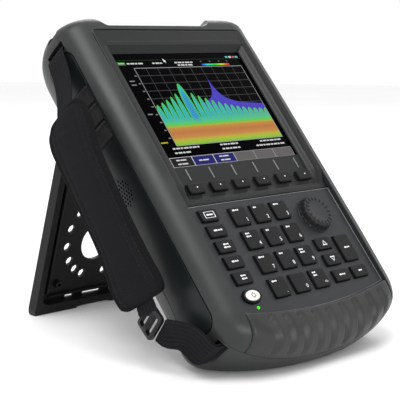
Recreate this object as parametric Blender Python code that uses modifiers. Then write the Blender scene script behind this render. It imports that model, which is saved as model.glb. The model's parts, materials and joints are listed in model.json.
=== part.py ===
"""Handheld vector network analyser, leaning back on its tilt stand with a hand strap on its left side.

The instrument is modelled in its own axes and then leant back as one. In those axes x runs to the
right, v runs from the front panel to the back and w runs up the instrument; an object's local X, Y
and Z are x, v and w. Lengths below are millimetres, and MM turns them into Blender's metres.
"""

import math

import bmesh
import bpy
from mathutils import Vector

MM = 0.001

# Driving dimensions of the case
WIDTH = 188.0
HEIGHT = 297.5
RIM = -4.0  # the front rim; the keypad plate's face is v = 0
BACK = 68.0
LEAN = math.radians(40.0)
FOOTPRINT_CENTRE = (13.12, -142.39)  # puts the origin under the middle of the whole object
SPREAD = math.radians(57.0)  # the stand's angle from the back when it is open
GAP = 0.3  # between pieces that touch
WALL = 3.0
SIDE_WALL = 5.0
PARTING = 14.5  # the plane between the front and the rear housing

# Case corners: how far each rounding reaches
FRONT_CORNER = (20.0, 16.0)
REAR_CORNER = (36.0, 31.0)
REAR_CORNER_LOW = (20.0, 18.0)
TOP_CORNER = 14.0
TOP_FRONT = (22.0, 14.0)
TOP_BACK = (28.0, 27.0)
NOSE_CENTRE = (19.3335, 29.9)  # the nose is round about this axis, tangent to the front and the heel
NOSE_RADIUS = NOSE_CENTRE[0] - RIM
HEEL_LOW = 12.03
BELLY = (6.567, 43.4, 2.6)  # the lower edge is arched: its lowest w, its rise and its power
HEEL = 20.0  # v where the sloped heel starts; the case rests on the heel
HEEL_END = 33.0
BACK_START = 51.0

# Front panel
APERTURE = 78.0
APERTURE_TOP = 279.0
DECK_EDGE = 127.6  # w of the line between the display bezel and the keypad plate
PLATE_CORNER_W = 43.5
PLATE_SAG = 7.8
PLATE_THICK = 3.0
DISPLAY = (133.0, 99.6)
DISPLAY_W = 209.8
DISPLAY_DECK = 0.6
BEZEL_FACE = -3.6
BEZEL_BACK = 3.6

# Keys
KEY_PROUD = 2.5
KEY_ROOT = 5.0
KEY_CLEAR = 0.4
NUMBER_KEY = (15.6, 14.6)
SIDE_KEY = (16.4, 9.2)
SOFT_KEY = (14.8, 7.8)
ENTER_KEY = (15.4, 21.8)
POWER_KEY = (17.4, 10.6)
NUMBER_COLUMNS = (-32.2, -10.6, 11.0)
NUMBER_ROWS = (114.0, 94.6, 75.1, 55.6)
SIDE_COLUMN = -60.9
SIDE_ROWS = (118.3, 105.7, 93.1, 80.6, 68.0)
SOFT_PITCH = 23.2
SOFT_ROW = 140.8
ARROW_COLUMN = 35.2
ENTER_COLUMN = 56.6
KNOB = (43.4, 105.6)
KNOB_RADIUS = 14.4
KNOB_PROUD = 7.2
LED = (-59.8, 45.2)

# Top bay and its connectors
BAY = (60.0, 18.0, 50.0, 262.0)
LIP = 285.0  # the top edge between the two raised corners
DIP = (-75.0, -60.5, 40.0, 60.0)
PORT_V = 34.0

# Side panels and doors
SIDE_PANEL = (9.8, 44.0, 44.0, 273.4)
SIDE_SINK = 2.8
DOOR = (11.6, 33.6)
DOOR_HEIGHT = 14.2
DOOR_ROWS = (234.6, 219.4, 204.2)
BATTERY_COVER = (14.4, 40.4, 50.6, 133.4)
BATTERY = (16.4, 37.8, 52.0, 132.0)

# Tilt stand, in its own axes: hinge at the origin, the leg hanging down local Z, folded
HINGE = (63.5, 264.4)
STAND_HALF = 62.5
STAND_THICK = 9.0
STAND_RIM = 5.5
PIN_RADIUS = 2.0
PIN_HALF = 68.0
STAND_HOLE = (-5.0, -124.4, 16.5)
VENT_RING = (-3.5, -119.6, 33.0, 35.0)
VENT_ANGLES = (-64, -40, -16, 10, 33.5, 52, 69)

# Hand strap
WEB_THICK = 1.6
PAD_THICK = 6.6
UPPER_SLOT = (12.6, 34.4, 274.8, 281.8)
LOWER_SLOT = (16.4, 43.2, 28.8, 36.4)

GREY = (0.085, 0.090, 0.092, 1.0)
BLACK = (0.018, 0.018, 0.020, 1.0)
STEEL = (0.55, 0.55, 0.56, 1.0)


# ---------------------------------------------------------------- Blender helpers


def clear_scene():
    for obj in list(bpy.data.objects):
        bpy.data.objects.remove(obj)


def new_collection(name):
    collection = bpy.data.collections.new(name)
    bpy.context.scene.collection.children.link(collection)
    return collection


def material(name, colour, roughness=0.6, metallic=0.0):
    """A Principled material, made once for each name."""
    found = bpy.data.materials.get(name)
    if found:
        return found
    made = bpy.data.materials.new(name)
    made.use_nodes = True
    shader = made.node_tree.nodes["Principled BSDF"]
    shader.inputs["Base Color"].default_value = colour
    shader.inputs["Roughness"].default_value = roughness
    shader.inputs["Metallic"].default_value = metallic
    made.diffuse_color = colour
    return made


def empty(name, parent=None, location=(0, 0, 0), rotation=(0, 0, 0)):
    holder = bpy.data.objects.new(name, None)
    PARTS.objects.link(holder)
    holder.parent = parent
    holder.location = [c * MM for c in location]
    holder.rotation_euler = rotation
    return holder


def place(mesh, name, finish, parent, location=(0, 0, 0), rotation=(0, 0, 0)):
    """Links a node, or a cutter when it has no finish, under its parent."""
    obj = bpy.data.objects.new(name, mesh)
    (PARTS if finish else CUTTERS).objects.link(obj)
    obj.parent = parent
    obj.location = [c * MM for c in location]
    obj.rotation_euler = rotation
    if finish:
        mesh.materials.append(finish)
    else:
        obj.hide_render = True
        obj.display_type = "WIRE"
    return obj


def mesh_of(bm, name):
    mesh = bpy.data.meshes.new(name)
    bm.to_mesh(mesh)
    bm.free()
    return mesh


def block(name, span_x, span_v, span_w, finish=None, parent=None, bevel=0.0, segments=1):
    """A box between two values on each axis. Its origin is its middle."""
    spans = (span_x, span_v, span_w)
    bm = bmesh.new()
    bmesh.ops.create_cube(bm, size=1.0)
    bmesh.ops.scale(bm, vec=[(high - low) * MM for low, high in spans], verts=bm.verts)
    middle = [(low + high) / 2 for low, high in spans]
    obj = place(mesh_of(bm, name), name, finish, parent or LEANING, middle)
    if bevel:
        round_edges(obj, bevel, segments)
    return obj


def round_edges(obj, width, segments):
    modifier = obj.modifiers.new("rounding", "BEVEL")
    modifier.width = width * MM
    modifier.segments = segments
    modifier.limit_method = "ANGLE"
    modifier.angle_limit = math.radians(50)


def drum(name, radius, length, location, finish=None, along="v", sides=16, parent=None):
    """A cylinder along x, v or w, centred on its location."""
    bm = bmesh.new()
    bmesh.ops.create_cone(
        bm, cap_ends=True, segments=sides, radius1=radius * MM, radius2=radius * MM, depth=length * MM
    )
    turn = {"x": (0, math.pi / 2, 0), "v": (math.pi / 2, 0, 0), "w": (0, 0, 0)}[along]
    return place(mesh_of(bm, name), name, finish, parent or LEANING, location, turn)


def turned(name, profile, location, finish, along="w", sides=20, parent=None):
    """A profile of (radius, height) points, top to bottom on its outer side, spun round its axis."""
    bm = bmesh.new()
    points = [bm.verts.new((radius * MM, 0, height * MM)) for radius, height in profile]
    for first, second in zip(points, points[1:]):
        bm.edges.new((first, second))
    turn = {"front": (math.pi / 2, 0, 0), "w": (0, 0, 0)}[along]
    obj = place(mesh_of(bm, name), name, finish, parent or LEANING, location, turn)
    screw = obj.modifiers.new("spin", "SCREW")
    screw.axis = "Z"
    screw.steps = sides
    screw.render_steps = sides
    screw.use_merge_vertices = True
    screw.merge_threshold = 0.00002
    return obj


def plate(name, outlines, span, finish=None, facing="front", parent=None):
    """A flat sheet: the first outline is its edge and the others are holes.

    Facing front, an outline holds (x, w) points and the sheet spans two values of v. Facing side,
    it holds (v, w) points and the sheet spans two values of x.
    """
    low, high = span
    curve = bpy.data.curves.new(name + "_outline", "CURVE")
    curve.dimensions = "2D"
    curve.fill_mode = "BOTH"
    curve.extrude = (high - low) / 2 * MM
    for outline in outlines:
        spline = curve.splines.new("POLY")
        spline.points.add(len(outline) - 1)
        for point, (across, up) in zip(spline.points, outline):
            point.co = (across * MM, up * MM, 0, 1)
        spline.use_cyclic_u = True
    drawn = bpy.data.objects.new(name + "_drawn", curve)
    CUTTERS.objects.link(drawn)
    graph = bpy.context.evaluated_depsgraph_get()
    mesh = bpy.data.meshes.new_from_object(drawn.evaluated_get(graph))
    bpy.data.objects.remove(drawn)
    mesh.name = name
    bm = bmesh.new()
    bm.from_mesh(mesh)
    bmesh.ops.remove_doubles(bm, verts=bm.verts, dist=1e-6)
    bmesh.ops.recalc_face_normals(bm, faces=bm.faces)
    bm.to_mesh(mesh)
    bm.free()
    middle = (low + high) / 2
    quarter = math.pi / 2
    where = (0, middle, 0) if facing == "front" else (middle, 0, 0)
    turn = (quarter, 0, 0) if facing == "front" else (quarter, 0, quarter)
    return place(mesh, name, finish, parent or LEANING, where, turn)


def loft(name, rings, finish=None, parent=None):
    """A closed skin through rings that have the same number of (x, v, w) points."""
    bm = bmesh.new()
    rows = [[bm.verts.new([c * MM for c in point]) for point in ring] for ring in rings]
    count = len(rows[0])
    for lower, upper in zip(rows, rows[1:]):
        for i in range(count):
            j = (i + 1) % count
            bm.faces.new((lower[i], lower[j], upper[j], upper[i]))
    bm.faces.new(list(reversed(rows[0])))
    bm.faces.new(rows[-1])
    bmesh.ops.recalc_face_normals(bm, faces=bm.faces)
    return place(mesh_of(bm, name), name, finish, parent or LEANING)


def combine(obj, other, operation="DIFFERENCE"):
    modifier = obj.modifiers.new(operation.lower(), "BOOLEAN")
    modifier.operation = operation
    modifier.object = other


def cut(obj, *cutters):
    for cutter in cutters:
        combine(obj, cutter)


# ---------------------------------------------------------------- outlines


def arc(centre, radii, start, end, steps):
    """Points on an elliptical arc, both ends included. Angles are degrees."""
    for i in range(steps + 1):
        angle = math.radians(start + (end - start) * i / steps)
        yield centre[0] + radii[0] * math.cos(angle), centre[1] + radii[1] * math.sin(angle)


def rounded(centre, size, radius, steps=3):
    """A rectangle with round corners."""
    half_x, half_y = size[0] / 2 - radius, size[1] / 2 - radius
    points = []
    for quadrant, (sx, sy) in enumerate(((1, 1), (-1, 1), (-1, -1), (1, -1))):
        corner = (centre[0] + sx * half_x, centre[1] + sy * half_y)
        points += arc(corner, (radius, radius), 90 * quadrant, 90 * quadrant + 90, steps)
    return points


def rectangle(centre, size):
    x, y = centre
    a, b = size[0] / 2, size[1] / 2
    return [(x + a, y + b), (x - a, y + b), (x - a, y - b), (x + a, y - b)]


def ellipse(centre, radii, steps):
    return list(arc(centre, radii, 0, 360, steps))[:-1]


def quarter_reach(share):
    """How far a quarter circle has opened at a share of its height, from 0 to 1."""
    return math.sqrt(max(0.0, 1 - (1 - share) ** 2))


# ---------------------------------------------------------------- the case's shape


def half_width_at(w):
    """Half the case's width at a height: the lower edge is arched, the top corners are round."""
    full = WIDTH / 2
    if w < BELLY[0] + BELLY[1]:
        return full * math.sqrt(1 - max(0.0, 1 - (w - BELLY[0]) / BELLY[1]) ** BELLY[2])
    if w > HEIGHT - TOP_CORNER:
        return full - TOP_CORNER * (1 - quarter_reach((HEIGHT - w) / TOP_CORNER))
    return full


def nose_reach(w):
    """How far the round nose reaches from its axis at a height."""
    return math.sqrt(max(0.0, NOSE_RADIUS**2 - (NOSE_CENTRE[1] - w) ** 2))


def front_at(w):
    """The case's front at a height: the nose below curls under, the top edge is rounded."""
    if w < NOSE_CENTRE[1]:
        return NOSE_CENTRE[0] - nose_reach(w)
    if w > HEIGHT - TOP_FRONT[1]:
        return RIM + TOP_FRONT[0] * (1 - quarter_reach((HEIGHT - w) / TOP_FRONT[1]))
    return RIM


def back_at(w):
    """The case's back at a height: the nose, the flat heel, a bend, the back and the round top."""
    if w < HEEL_LOW:
        return NOSE_CENTRE[0] + nose_reach(w)
    if w <= HEEL_END:
        return HEEL + w / math.tan(LEAN)
    if w < BACK_START:
        corner_w = (BACK - HEEL) * math.tan(LEAN)
        start_v = HEEL + HEEL_END / math.tan(LEAN)
        bend = HEEL_END - 2 * corner_w + BACK_START
        rise = corner_w - HEEL_END
        t = (-rise + math.sqrt(rise * rise + bend * (w - HEEL_END))) / bend
        return (1 - t) ** 2 * start_v + (1 - (1 - t) ** 2) * BACK
    if w > HEIGHT - TOP_BACK[1]:
        return BACK - TOP_BACK[0] * (1 - quarter_reach((HEIGHT - w) / TOP_BACK[1]))
    return BACK


def section(w, wall=0.0, side_wall=0.0, deepest=BACK):
    """The case's outline at one height, shrunk by a wall, as a ring of points."""
    half = half_width_at(w) - side_wall
    front = front_at(w) + wall
    back = min(back_at(w) - wall, deepest)
    depth = back - front
    ends = min(1.0, max(0.0, abs(w - HEIGHT / 2) - 60) / 70)
    front_corner = (min(FRONT_CORNER[0] + 4 * ends, 0.9 * half), min(FRONT_CORNER[1] + ends, 0.4 * depth))
    share = min(1.0, max(0.0, (w - 20) / 60))
    wide, deep = (low + (high - low) * share for low, high in zip(REAR_CORNER_LOW, REAR_CORNER))
    rear_corner = (min(wide, 0.9 * half), min(deep, 0.5 * depth))
    right = list(arc((half - front_corner[0], front + front_corner[1]), front_corner, -90, 0, 4))
    right += arc((half - rear_corner[0], back - rear_corner[1]), rear_corner, 0, 90, 4)
    ring = right + [(-x, v) for x, v in reversed(right)]
    return [(x, v, w) for x, v in ring]


def case_body(name):
    low = (6.7, 7.3, 8.6, 10.6, HEEL_LOW, 15, 19, 24.5, NOSE_CENTRE[1], HEEL_END, 38, 44, BACK_START, 65, 80)
    high = (100, 200, 230, 250, 270, 278, 284, 289, 293, 295.8, HEIGHT)
    return loft(name, [section(w) for w in low + high])


def case_cavity():
    levels = (11, HEEL_LOW + 1, 15, 19, 24.5, NOSE_CENTRE[1], HEEL_END, 38, 44, BACK_START, 65, 80, BAY[3] - 4)
    return loft(
        "cavity_cutter", [section(w, WALL, SIDE_WALL, HINGE[0] - STAND_THICK / 2 - 0.6 - WALL) for w in levels]
    )


# ---------------------------------------------------------------- casings


def side_recess(name, side, ease=0.0):
    """The shape of a side panel, or with an ease the recess it sits in."""
    front, back, low, high = SIDE_PANEL
    centre = ((front + back) / 2, (low + high) / 2)
    size = (back - front + 2 * ease, high - low + 2 * ease)
    sink = WIDTH / 2 - SIDE_SINK + GAP - ease
    span = (sink, WIDTH / 2 + 10) if side > 0 else (-WIDTH / 2 - 10, -sink)
    return plate(name, [rounded(centre, size, 9.0 + ease)], span, facing="side")


def make_housings():
    """The front and rear housings, the ribbed bumper and the cutters that they share."""
    cavity = case_cavity()
    reach = WIDTH
    front_half = block("front_half", (-reach, reach), (RIM - 20, PARTING), (-20, HEIGHT + 20))
    rear_half = block("rear_half", (-reach, reach), (PARTING + GAP, BACK + 20), (-20, HEIGHT + 20))
    half, bay_front, bay_back, bay_floor = BAY
    bay = block("bay_cutter", (-half, half), (bay_front, bay_back), (bay_floor, HEIGHT + 20))
    top_dip = dip_shape()
    recesses = [side_recess("left_recess", -1, GAP), side_recess("right_recess", 1, GAP)]
    aperture = plate(
        "aperture_cutter",
        [rounded((0, (APERTURE_TOP - 60) / 2), (2 * APERTURE, APERTURE_TOP + 60), 4.0)],
        (RIM - 20, 6.0),
    )
    nose = block("nose_cutter", (-APERTURE, APERTURE), (RIM - 20, PARTING + 2), (-30, PLATE_CORNER_W))
    mouth = block("battery_mouth", (60, 91.5), widened(BATTERY[:2], 0.6), widened(BATTERY[2:], 0.6))

    slots = [
        block("strap_slot", (-100, -84), slot[:2], slot[2:]) for slot in (UPPER_SLOT, LOWER_SLOT)
    ]
    notches = [
        block("corner_notch", (side * 92 - 8, side * 92 + 8), (15.6, 28.5), (289.0, HEIGHT + 5))
        for side in (-1, 1)
    ]

    front = case_body("front_housing")
    place_finish(front, "housing", GREY)
    combine(front, front_half, "INTERSECT")
    cut(front, cavity, aperture, nose, bay, top_dip, *recesses, *slots)

    bumper = case_body("bottom_bumper")
    place_finish(bumper, "rubber", GREY)
    keep = plate("bumper_keep", [bumper_outline()], (RIM - 20, PARTING))
    combine(bumper, keep, "INTERSECT")
    cut(bumper, cavity)

    rear = case_body("rear_housing")
    place_finish(rear, "housing", GREY)
    combine(rear, rear_half, "INTERSECT")
    half_pocket = STAND_HALF + 0.7
    pocket = block(
        "stand_pocket",
        (-half_pocket, half_pocket),
        (HINGE[0] - STAND_THICK / 2 - 0.6, BACK + 20),
        (HINGE[1] - stand_length() - 3.0, HINGE[1] + STAND_THICK / 2 + 0.6),
    )
    bore = drum("hinge_bore", PIN_RADIUS + 0.12, 2 * PIN_HALF + 0.8, (0, *HINGE), along="x")
    cut(rear, cavity, pocket, bore, bay, top_dip, mouth, *recesses, *slots, *notches)


def dip_shape():
    """What is cut away between the raised top corners. Its front edge is eased."""
    rings = []
    for v, drop in ((RIM - 20, 22.0), (RIM - 0.5, 3.4), (RIM + 2, 1.2), (RIM + 6, 0.0), (BACK + 20, 0.0)):
        outer_left, left, right, outer_right = DIP
        low, high = LIP - drop, HEIGHT + 1
        rings.append([(left, v, low), (right, v, low), (outer_right, v, high), (outer_left, v, high)])
    return loft("top_dip", rings)


def bumper_outline():
    """Front view of the ribbed bumper: it hangs under the keypad plate's curved lower edge."""
    half = APERTURE - GAP
    edge = [(x, w - GAP) for x, w in plate_bottom(half)]
    return [(-half, -20), (half, -20)] + list(reversed(edge))


def plate_bottom(half):
    """The keypad plate's curved lower edge, left to right."""
    radius = (half**2 + PLATE_SAG**2) / (2 * PLATE_SAG)
    spread = math.degrees(math.asin(half / radius))
    centre = (0, PLATE_CORNER_W - PLATE_SAG + radius)
    return list(arc(centre, (radius, radius), 270 - spread, 270 + spread, 10))


def place_finish(obj, name, colour):
    """Turns an object that was linked as a cutter into a node with a finish."""
    CUTTERS.objects.unlink(obj)
    PARTS.objects.link(obj)
    obj.hide_render = False
    obj.display_type = "TEXTURED"
    obj.data.materials.append(material(name, colour))


def make_side_panels():
    """Inlaid side panels: three port doors on the left, the battery cover on the right."""
    for side, name in ((-1, "left_side_panel"), (1, "right_side_panel")):
        panel = case_body(name)
        place_finish(panel, "side_panel", GREY)
        combine(panel, side_recess(name + "_shape", side), "INTERSECT")
        if side < 0:
            for w in DOOR_ROWS:
                cut(panel, block("door_hole", (-110, -80), widened(DOOR), row_span(w, KEY_CLEAR)))
        else:
            front, back, low, high = BATTERY_COVER
            cut(panel, block("cover_hole", (80, 110), widened((front, back)), widened((low, high))))

    finish = material("side_panel", GREY)
    outer = WIDTH / 2 + 0.3
    for name, w in zip(("usb_door", "card_door", "lan_door"), DOOR_ROWS):
        block(name, (-outer, -outer + 2.3), DOOR, row_span(w), finish, bevel=0.4)
    front, back, low, high = BATTERY_COVER
    cover = block("battery_cover", (WIDTH / 2 - 2.2, outer), (front, back), (low, high), finish, bevel=0.6)
    thumb = block("thumb_notch", (outer - 1.2, outer + 2), (23, 31), (low + 60, low + 76))
    cut(cover, thumb)


def widened(span, by=KEY_CLEAR):
    return span[0] - by, span[1] + by


def row_span(w, ease=0.0):
    return w - DOOR_HEIGHT / 2 - ease, w + DOOR_HEIGHT / 2 + ease


# ---------------------------------------------------------------- front panel


def key_table():
    """Every key as name: (x, w, width, height), the softkeys first."""
    keys = {f"softkey_{i + 1}": ((i - 2.5) * SOFT_PITCH, SOFT_ROW, *SOFT_KEY) for i in range(6)}
    for name, w in zip(("mode", "frequency", "scale", "marker", "tools"), SIDE_ROWS):
        keys["key_" + name] = (SIDE_COLUMN, w, *SIDE_KEY)
    digits = ("1", "2", "3", "4", "5", "6", "7", "8", "9", "decimal", "0", "sign")
    for i, digit in enumerate(digits):
        keys["key_" + digit] = (NUMBER_COLUMNS[i % 3], NUMBER_ROWS[i // 3], *NUMBER_KEY)
    keys["key_up"] = (ARROW_COLUMN, 81.3, *SIDE_KEY)
    keys["key_down"] = (ARROW_COLUMN, 67.8, *SIDE_KEY)
    keys["key_back"] = (ARROW_COLUMN, 54.2, *SIDE_KEY)
    keys["key_enter"] = (ENTER_COLUMN, 74.5, *ENTER_KEY)
    keys["key_escape"] = (ENTER_COLUMN, 54.2, *SIDE_KEY)
    return keys


def make_keys():
    finish = material("key", BLACK, 0.55)
    for name, (x, w, width, height) in key_table().items():
        face = DISPLAY_DECK if name.startswith("softkey") else 0.0
        span_v = (face - KEY_PROUD, KEY_ROOT)
        block(
            name, (x - width / 2, x + width / 2), span_v, (w - height / 2, w + height / 2), finish, bevel=0.7
        )
    outline = ellipse((SIDE_COLUMN - 0.4, 53.8), (POWER_KEY[0] / 2, POWER_KEY[1] / 2), 20)
    plate("key_power", [outline], (-KEY_PROUD, KEY_ROOT), finish)


def make_keypad_plate():
    half = APERTURE - GAP
    edge = plate_bottom(half) + [(half, DECK_EDGE - GAP), (-half, DECK_EDGE - GAP)]
    holes = [
        rectangle((x, w), (width + 2 * KEY_CLEAR, height + 2 * KEY_CLEAR))
        for name, (x, w, width, height) in key_table().items()
        if not name.startswith("softkey")
    ]
    power = ellipse((SIDE_COLUMN - 0.4, 53.8), [side / 2 + KEY_CLEAR for side in POWER_KEY], 20)
    knob = ellipse(KNOB, (3.6, 3.6), 16)
    led = ellipse(LED, (1.5, 1.5), 8)
    plate(
        "keypad_plate",
        [edge, *holes, power, knob, led],
        (0.0, PLATE_THICK),
        material("keypad_plate", (0.045, 0.050, 0.056, 1), 0.5),
    )


def make_display():
    """The bezel with its sunk deck, the window, and the liquid crystal panel behind it."""
    half = APERTURE - GAP
    top = APERTURE_TOP - GAP
    span_w = (DECK_EDGE, top)
    bezel = plate(
        "display_bezel",
        [rounded((0, sum(span_w) / 2), (2 * half, span_w[1] - span_w[0]), 4.0)],
        (BEZEL_FACE, BEZEL_BACK),
        material("bezel", (0.03, 0.033, 0.036, 1), 0.5),
    )
    deck = block("deck_cutter", (-71, 71), (BEZEL_FACE - 5, DISPLAY_DECK), (DECK_EDGE + 2.2, 264.5))
    width, height = DISPLAY
    opening = plate("window_cutter", [rounded((0, DISPLAY_W), DISPLAY, 1.2)], (-10, 10))
    softkeys = [
        block("softkey_hole", widened((x - w / 2, x + w / 2)), (-10, 10), widened((z - h / 2, z + h / 2)))
        for name, (x, z, w, h) in key_table().items()
        if name.startswith("softkey")
    ]
    cut(bezel, deck, opening, *softkeys)
    plate(
        "display_window",
        [rounded((0, DISPLAY_W), (width - 0.6, height - 0.6), 1.0)],
        (DISPLAY_DECK + 0.3, 3.2),
        material("window", (0.01, 0.01, 0.012, 1), 0.12),
    )
    block(
        "lcd_panel",
        (-72, 72),
        (BEZEL_BACK + GAP, 9.0),
        (DISPLAY_W - 55, DISPLAY_W + 47),
        material("lcd", (0.2, 0.22, 0.24, 1), 0.3),
    )


def make_knob():
    """The tuning knob turns on the encoder's shaft."""
    x, w = KNOB
    profile = [
        (0, KNOB_PROUD),
        (KNOB_RADIUS - 3.4, KNOB_PROUD),
        (KNOB_RADIUS - 1.6, KNOB_PROUD - 1.6),
        (KNOB_RADIUS, 1.2),
        (KNOB_RADIUS, GAP),
        (3.3, GAP),
        (3.3, KNOB_PROUD - 2.4),
        (0, KNOB_PROUD - 2.4),
    ]
    turned("tuning_knob", profile, (x, 0, w), material("knob", BLACK, 0.6), along="front", sides=24)
    finish = material("steel", STEEL, 0.35, 1.0)
    encoder = block("knob_encoder", (x - 6.5, x + 6.5), (PLATE_THICK + GAP, 6.6), (w - 6.5, w + 6.5), finish)
    shaft = drum("encoder_shaft", 3.0, 9.0, (x, 0.2, w), sides=16)
    combine(encoder, shaft, "UNION")


def make_electronics():
    """What the sealed case holds: keypad board, main board, shielded radio module and battery."""
    board = material("circuit_board", (0.02, 0.12, 0.05, 1), 0.5)
    drum("power_led", 1.15, 4.4, (LED[0], 1.8, LED[1]), material("led", (0.1, 0.8, 0.05, 1), 0.3), sides=8)
    half = APERTURE - 2
    block("keypad_board", (-half, half), (7.0, 8.6), (47, 146), board)
    block("main_board", (-84, 84), (13.0, 14.6), (48, 252), board)
    shield = material("shield", STEEL, 0.4, 1.0)
    block("rf_module", (-70, 70), (17.0, 46.0), (140, 252), shield, bevel=1.5)
    block("battery", (-66, 90.6), BATTERY[:2], BATTERY[2:], material("battery", BLACK, 0.5), bevel=1.5)


# ---------------------------------------------------------------- top connectors


def make_connectors():
    half, bay_front, bay_back, floor = BAY
    steel = material("steel", STEEL, 0.35, 1.0)
    block(
        "top_connector_plate",
        (-half + 0.5, half - 0.5),
        (bay_front + 0.5, bay_back - 0.5),
        (floor + GAP, floor + 2.0),
        material("plate_metal", (0.3, 0.31, 0.32, 1), 0.4, 1.0),
    )
    seat = floor + 2.0 + GAP
    for name, x in (("rf_port_1", -38.0), ("rf_port_2", 38.0)):
        turned(name, socket_profile(9.6, 7.9, 4.2, 1.5, 18.0, 3.2), (x, PORT_V, seat), steel)
    for name, x in (("reference_connector", -9.0), ("gps_connector", 11.0)):
        turned(name, socket_profile(4.6, 3.2, 2.0, 0.7, 11.0, 2.4), (x, PORT_V, seat), steel, sides=14)


def socket_profile(flange, barrel, bore, pin, height, flange_height):
    """A coaxial socket: flange, threaded barrel, and a bore with its centre contact."""
    floor = height * 0.5
    return [
        (0, height - 1.5),
        (pin, height - 1.5),
        (pin, floor),
        (bore, floor),
        (bore, height),
        (barrel, height),
        (barrel, flange_height),
        (flange, flange_height),
        (flange, 0),
        (0, 0),
    ]


# ---------------------------------------------------------------- tilt stand


def stand_length():
    """From the hinge down to the foot's inner edge, so that the foot meets the ground."""
    tilt = SPREAD - LEAN
    hinge_height = HINGE[1] * math.cos(LEAN) - HINGE[0] * math.sin(LEAN) + HEEL * math.sin(LEAN)
    return (hinge_height - STAND_THICK / 2 * math.sin(tilt)) / math.cos(tilt)


def make_stand():
    """A tray-shaped leg, open on the side that faces the case, and the pin that it swings on."""
    hanging = empty("stand_hinge", LEANING, (0, *HINGE), (SPREAD, 0, 0))
    half = STAND_THICK / 2
    length = stand_length()
    foot_rise = STAND_THICK * math.tan(SPREAD - LEAN)
    profile = list(arc((0, 0), (half, half), 0, 180, 8))
    profile += [(-half, -length), (half, -length - foot_rise)]
    finish = material("stand", (0.02, 0.021, 0.022, 1), 0.5)
    stand = plate("tilt_stand", [profile], (-STAND_HALF, STAND_HALF), finish, "side", hanging)
    stand.modifiers.new("seam", "WELD").merge_threshold = 1e-6
    outline = rounded((0, -length / 2), (2 * STAND_HALF, length + 2 * half + 6.0), 11.0, 4)
    combine(stand, plate("stand_outline", [outline], (-20, 20), parent=hanging), "INTERSECT")
    side = STAND_HALF - STAND_RIM
    tray = plate(
        "stand_tray",
        [rounded((0, -8.0 - (length - 16) / 2), (2 * side, length - 16), 7.0)],
        (-20, 1.5),
        parent=hanging,
    )
    x, z, radius = STAND_HOLE
    hole = drum("stand_hole", radius, 40, (x, 0, z), sides=32, parent=hanging)
    notch = plate(
        "foot_notch",
        [[(-19, -length - 8), (19, -length - 8), (19, -length + 1), (13, -length + 1.6), (-13, -length + 1.6), (-19, -length + 1)]],
        (-20, 20),
        parent=hanging,
    )
    bore = drum("stand_bore", PIN_RADIUS + 0.12, 300, (0, 0, 0), along="x", parent=hanging)
    cut(stand, tray, hole, notch, bore)
    x, z, across, up = VENT_RING
    for side in (-1, 1):
        for angle in VENT_ANGLES:
            turn = math.radians(-angle)
            centre = (x + side * across * math.cos(turn), 0, z + up * math.sin(turn))
            cut(stand, drum("stand_vent", 3.7, 40, centre, sides=8, parent=hanging))
    for middle, width in ((-24.0, 10.6), (0.0, 21.5), (24.0, 10.6)):
        slit = plate("foot_slit", [rounded((middle, 9.5 - length), (width, 2.6), 1.2, 2)], (-20, 20))
        slit.parent = hanging
        cut(stand, slit)
    steel = material("steel", STEEL, 0.35, 1.0)
    drum("stand_hinge_pin", PIN_RADIUS, 2 * PIN_HALF, (0, *HINGE), steel, along="x")


# ---------------------------------------------------------------- hand strap


def band_ring(centre, along, width, thick, steps=2):
    """One ring of a flat band: square to its run, with its width as near to v as that allows."""
    run = Vector(along).normalized()
    across = (Vector((0, 1, 0)) - run * run.y).normalized()
    out = run.cross(across)
    middle = Vector(centre)
    return [middle + across * a + out * b for a, b in rounded((0, 0), (width, thick), thick * 0.45, steps)]


def band(name, route, thick, finish):
    """A flat band through a route of (x, v, w, width) points."""
    rings = []
    for i, (x, v, w, width) in enumerate(route):
        before, after = route[max(0, i - 1)], route[min(len(route) - 1, i + 1)]
        along = [after[k] - before[k] for k in range(3)]
        rings.append(band_ring((x, v, w), along, width, thick))
    return loft(name, rings, finish)


UPPER_WEBBING = (
    (-86.0, 23.5, 278.2, 20.4),
    (-91.0, 23.5, 278.1, 20.4),
    (-95.2, 23.3, 276.0, 20.4),
    (-97.2, 23.0, 270.8, 20.4),
    (-99.2, 22.6, 262.0, 20.4),
    (-102.6, 22.8, 250.0, 20.4),
    (-106.8, 24.0, 238.4, 20.4),
    (-109.8, 25.0, 231.4, 20.4),
)
PAD = (
    (-111.0, 26.0, 228.6, 30.0),
    (-112.0, 26.0, 221.0, 44.0),
    (-113.6, 27.0, 211.0, 47.0),
    (-115.0, 28.0, 199.0, 43.5),
    (-116.4, 28.6, 184.0, 40.5),
    (-117.2, 29.2, 165.0, 39.5),
    (-117.2, 30.4, 145.0, 38.5),
    (-116.0, 33.0, 125.0, 39.0),
    (-114.0, 37.0, 108.0, 42.5),
    (-112.0, 40.2, 95.5, 45.5),
    (-110.6, 41.0, 88.0, 43.0),
    (-109.8, 41.5, 84.6, 34.0),
)
LOWER_WEBBING = (
    (-106.6, 43.6, 62.4, 20.0),
    (-105.9, 42.4, 58.6, 20.6),
    (-104.8, 38.0, 55.0, 21.6),
    (-103.2, 34.2, 51.4, 23.0),
    (-101.2, 31.4, 47.0, 24.4),
    (-99.4, 30.2, 42.0, 25.2),
    (-97.8, 29.9, 37.0, 25.2),
    (-96.8, 29.8, 34.8, 25.2),
    (-94.4, 29.8, 32.7, 25.2),
    (-91.0, 29.8, 32.4, 25.2),
    (-86.0, 29.8, 32.4, 25.2),
)
BUCKLE = (-107.4, 48.4, 71.8)


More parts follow.
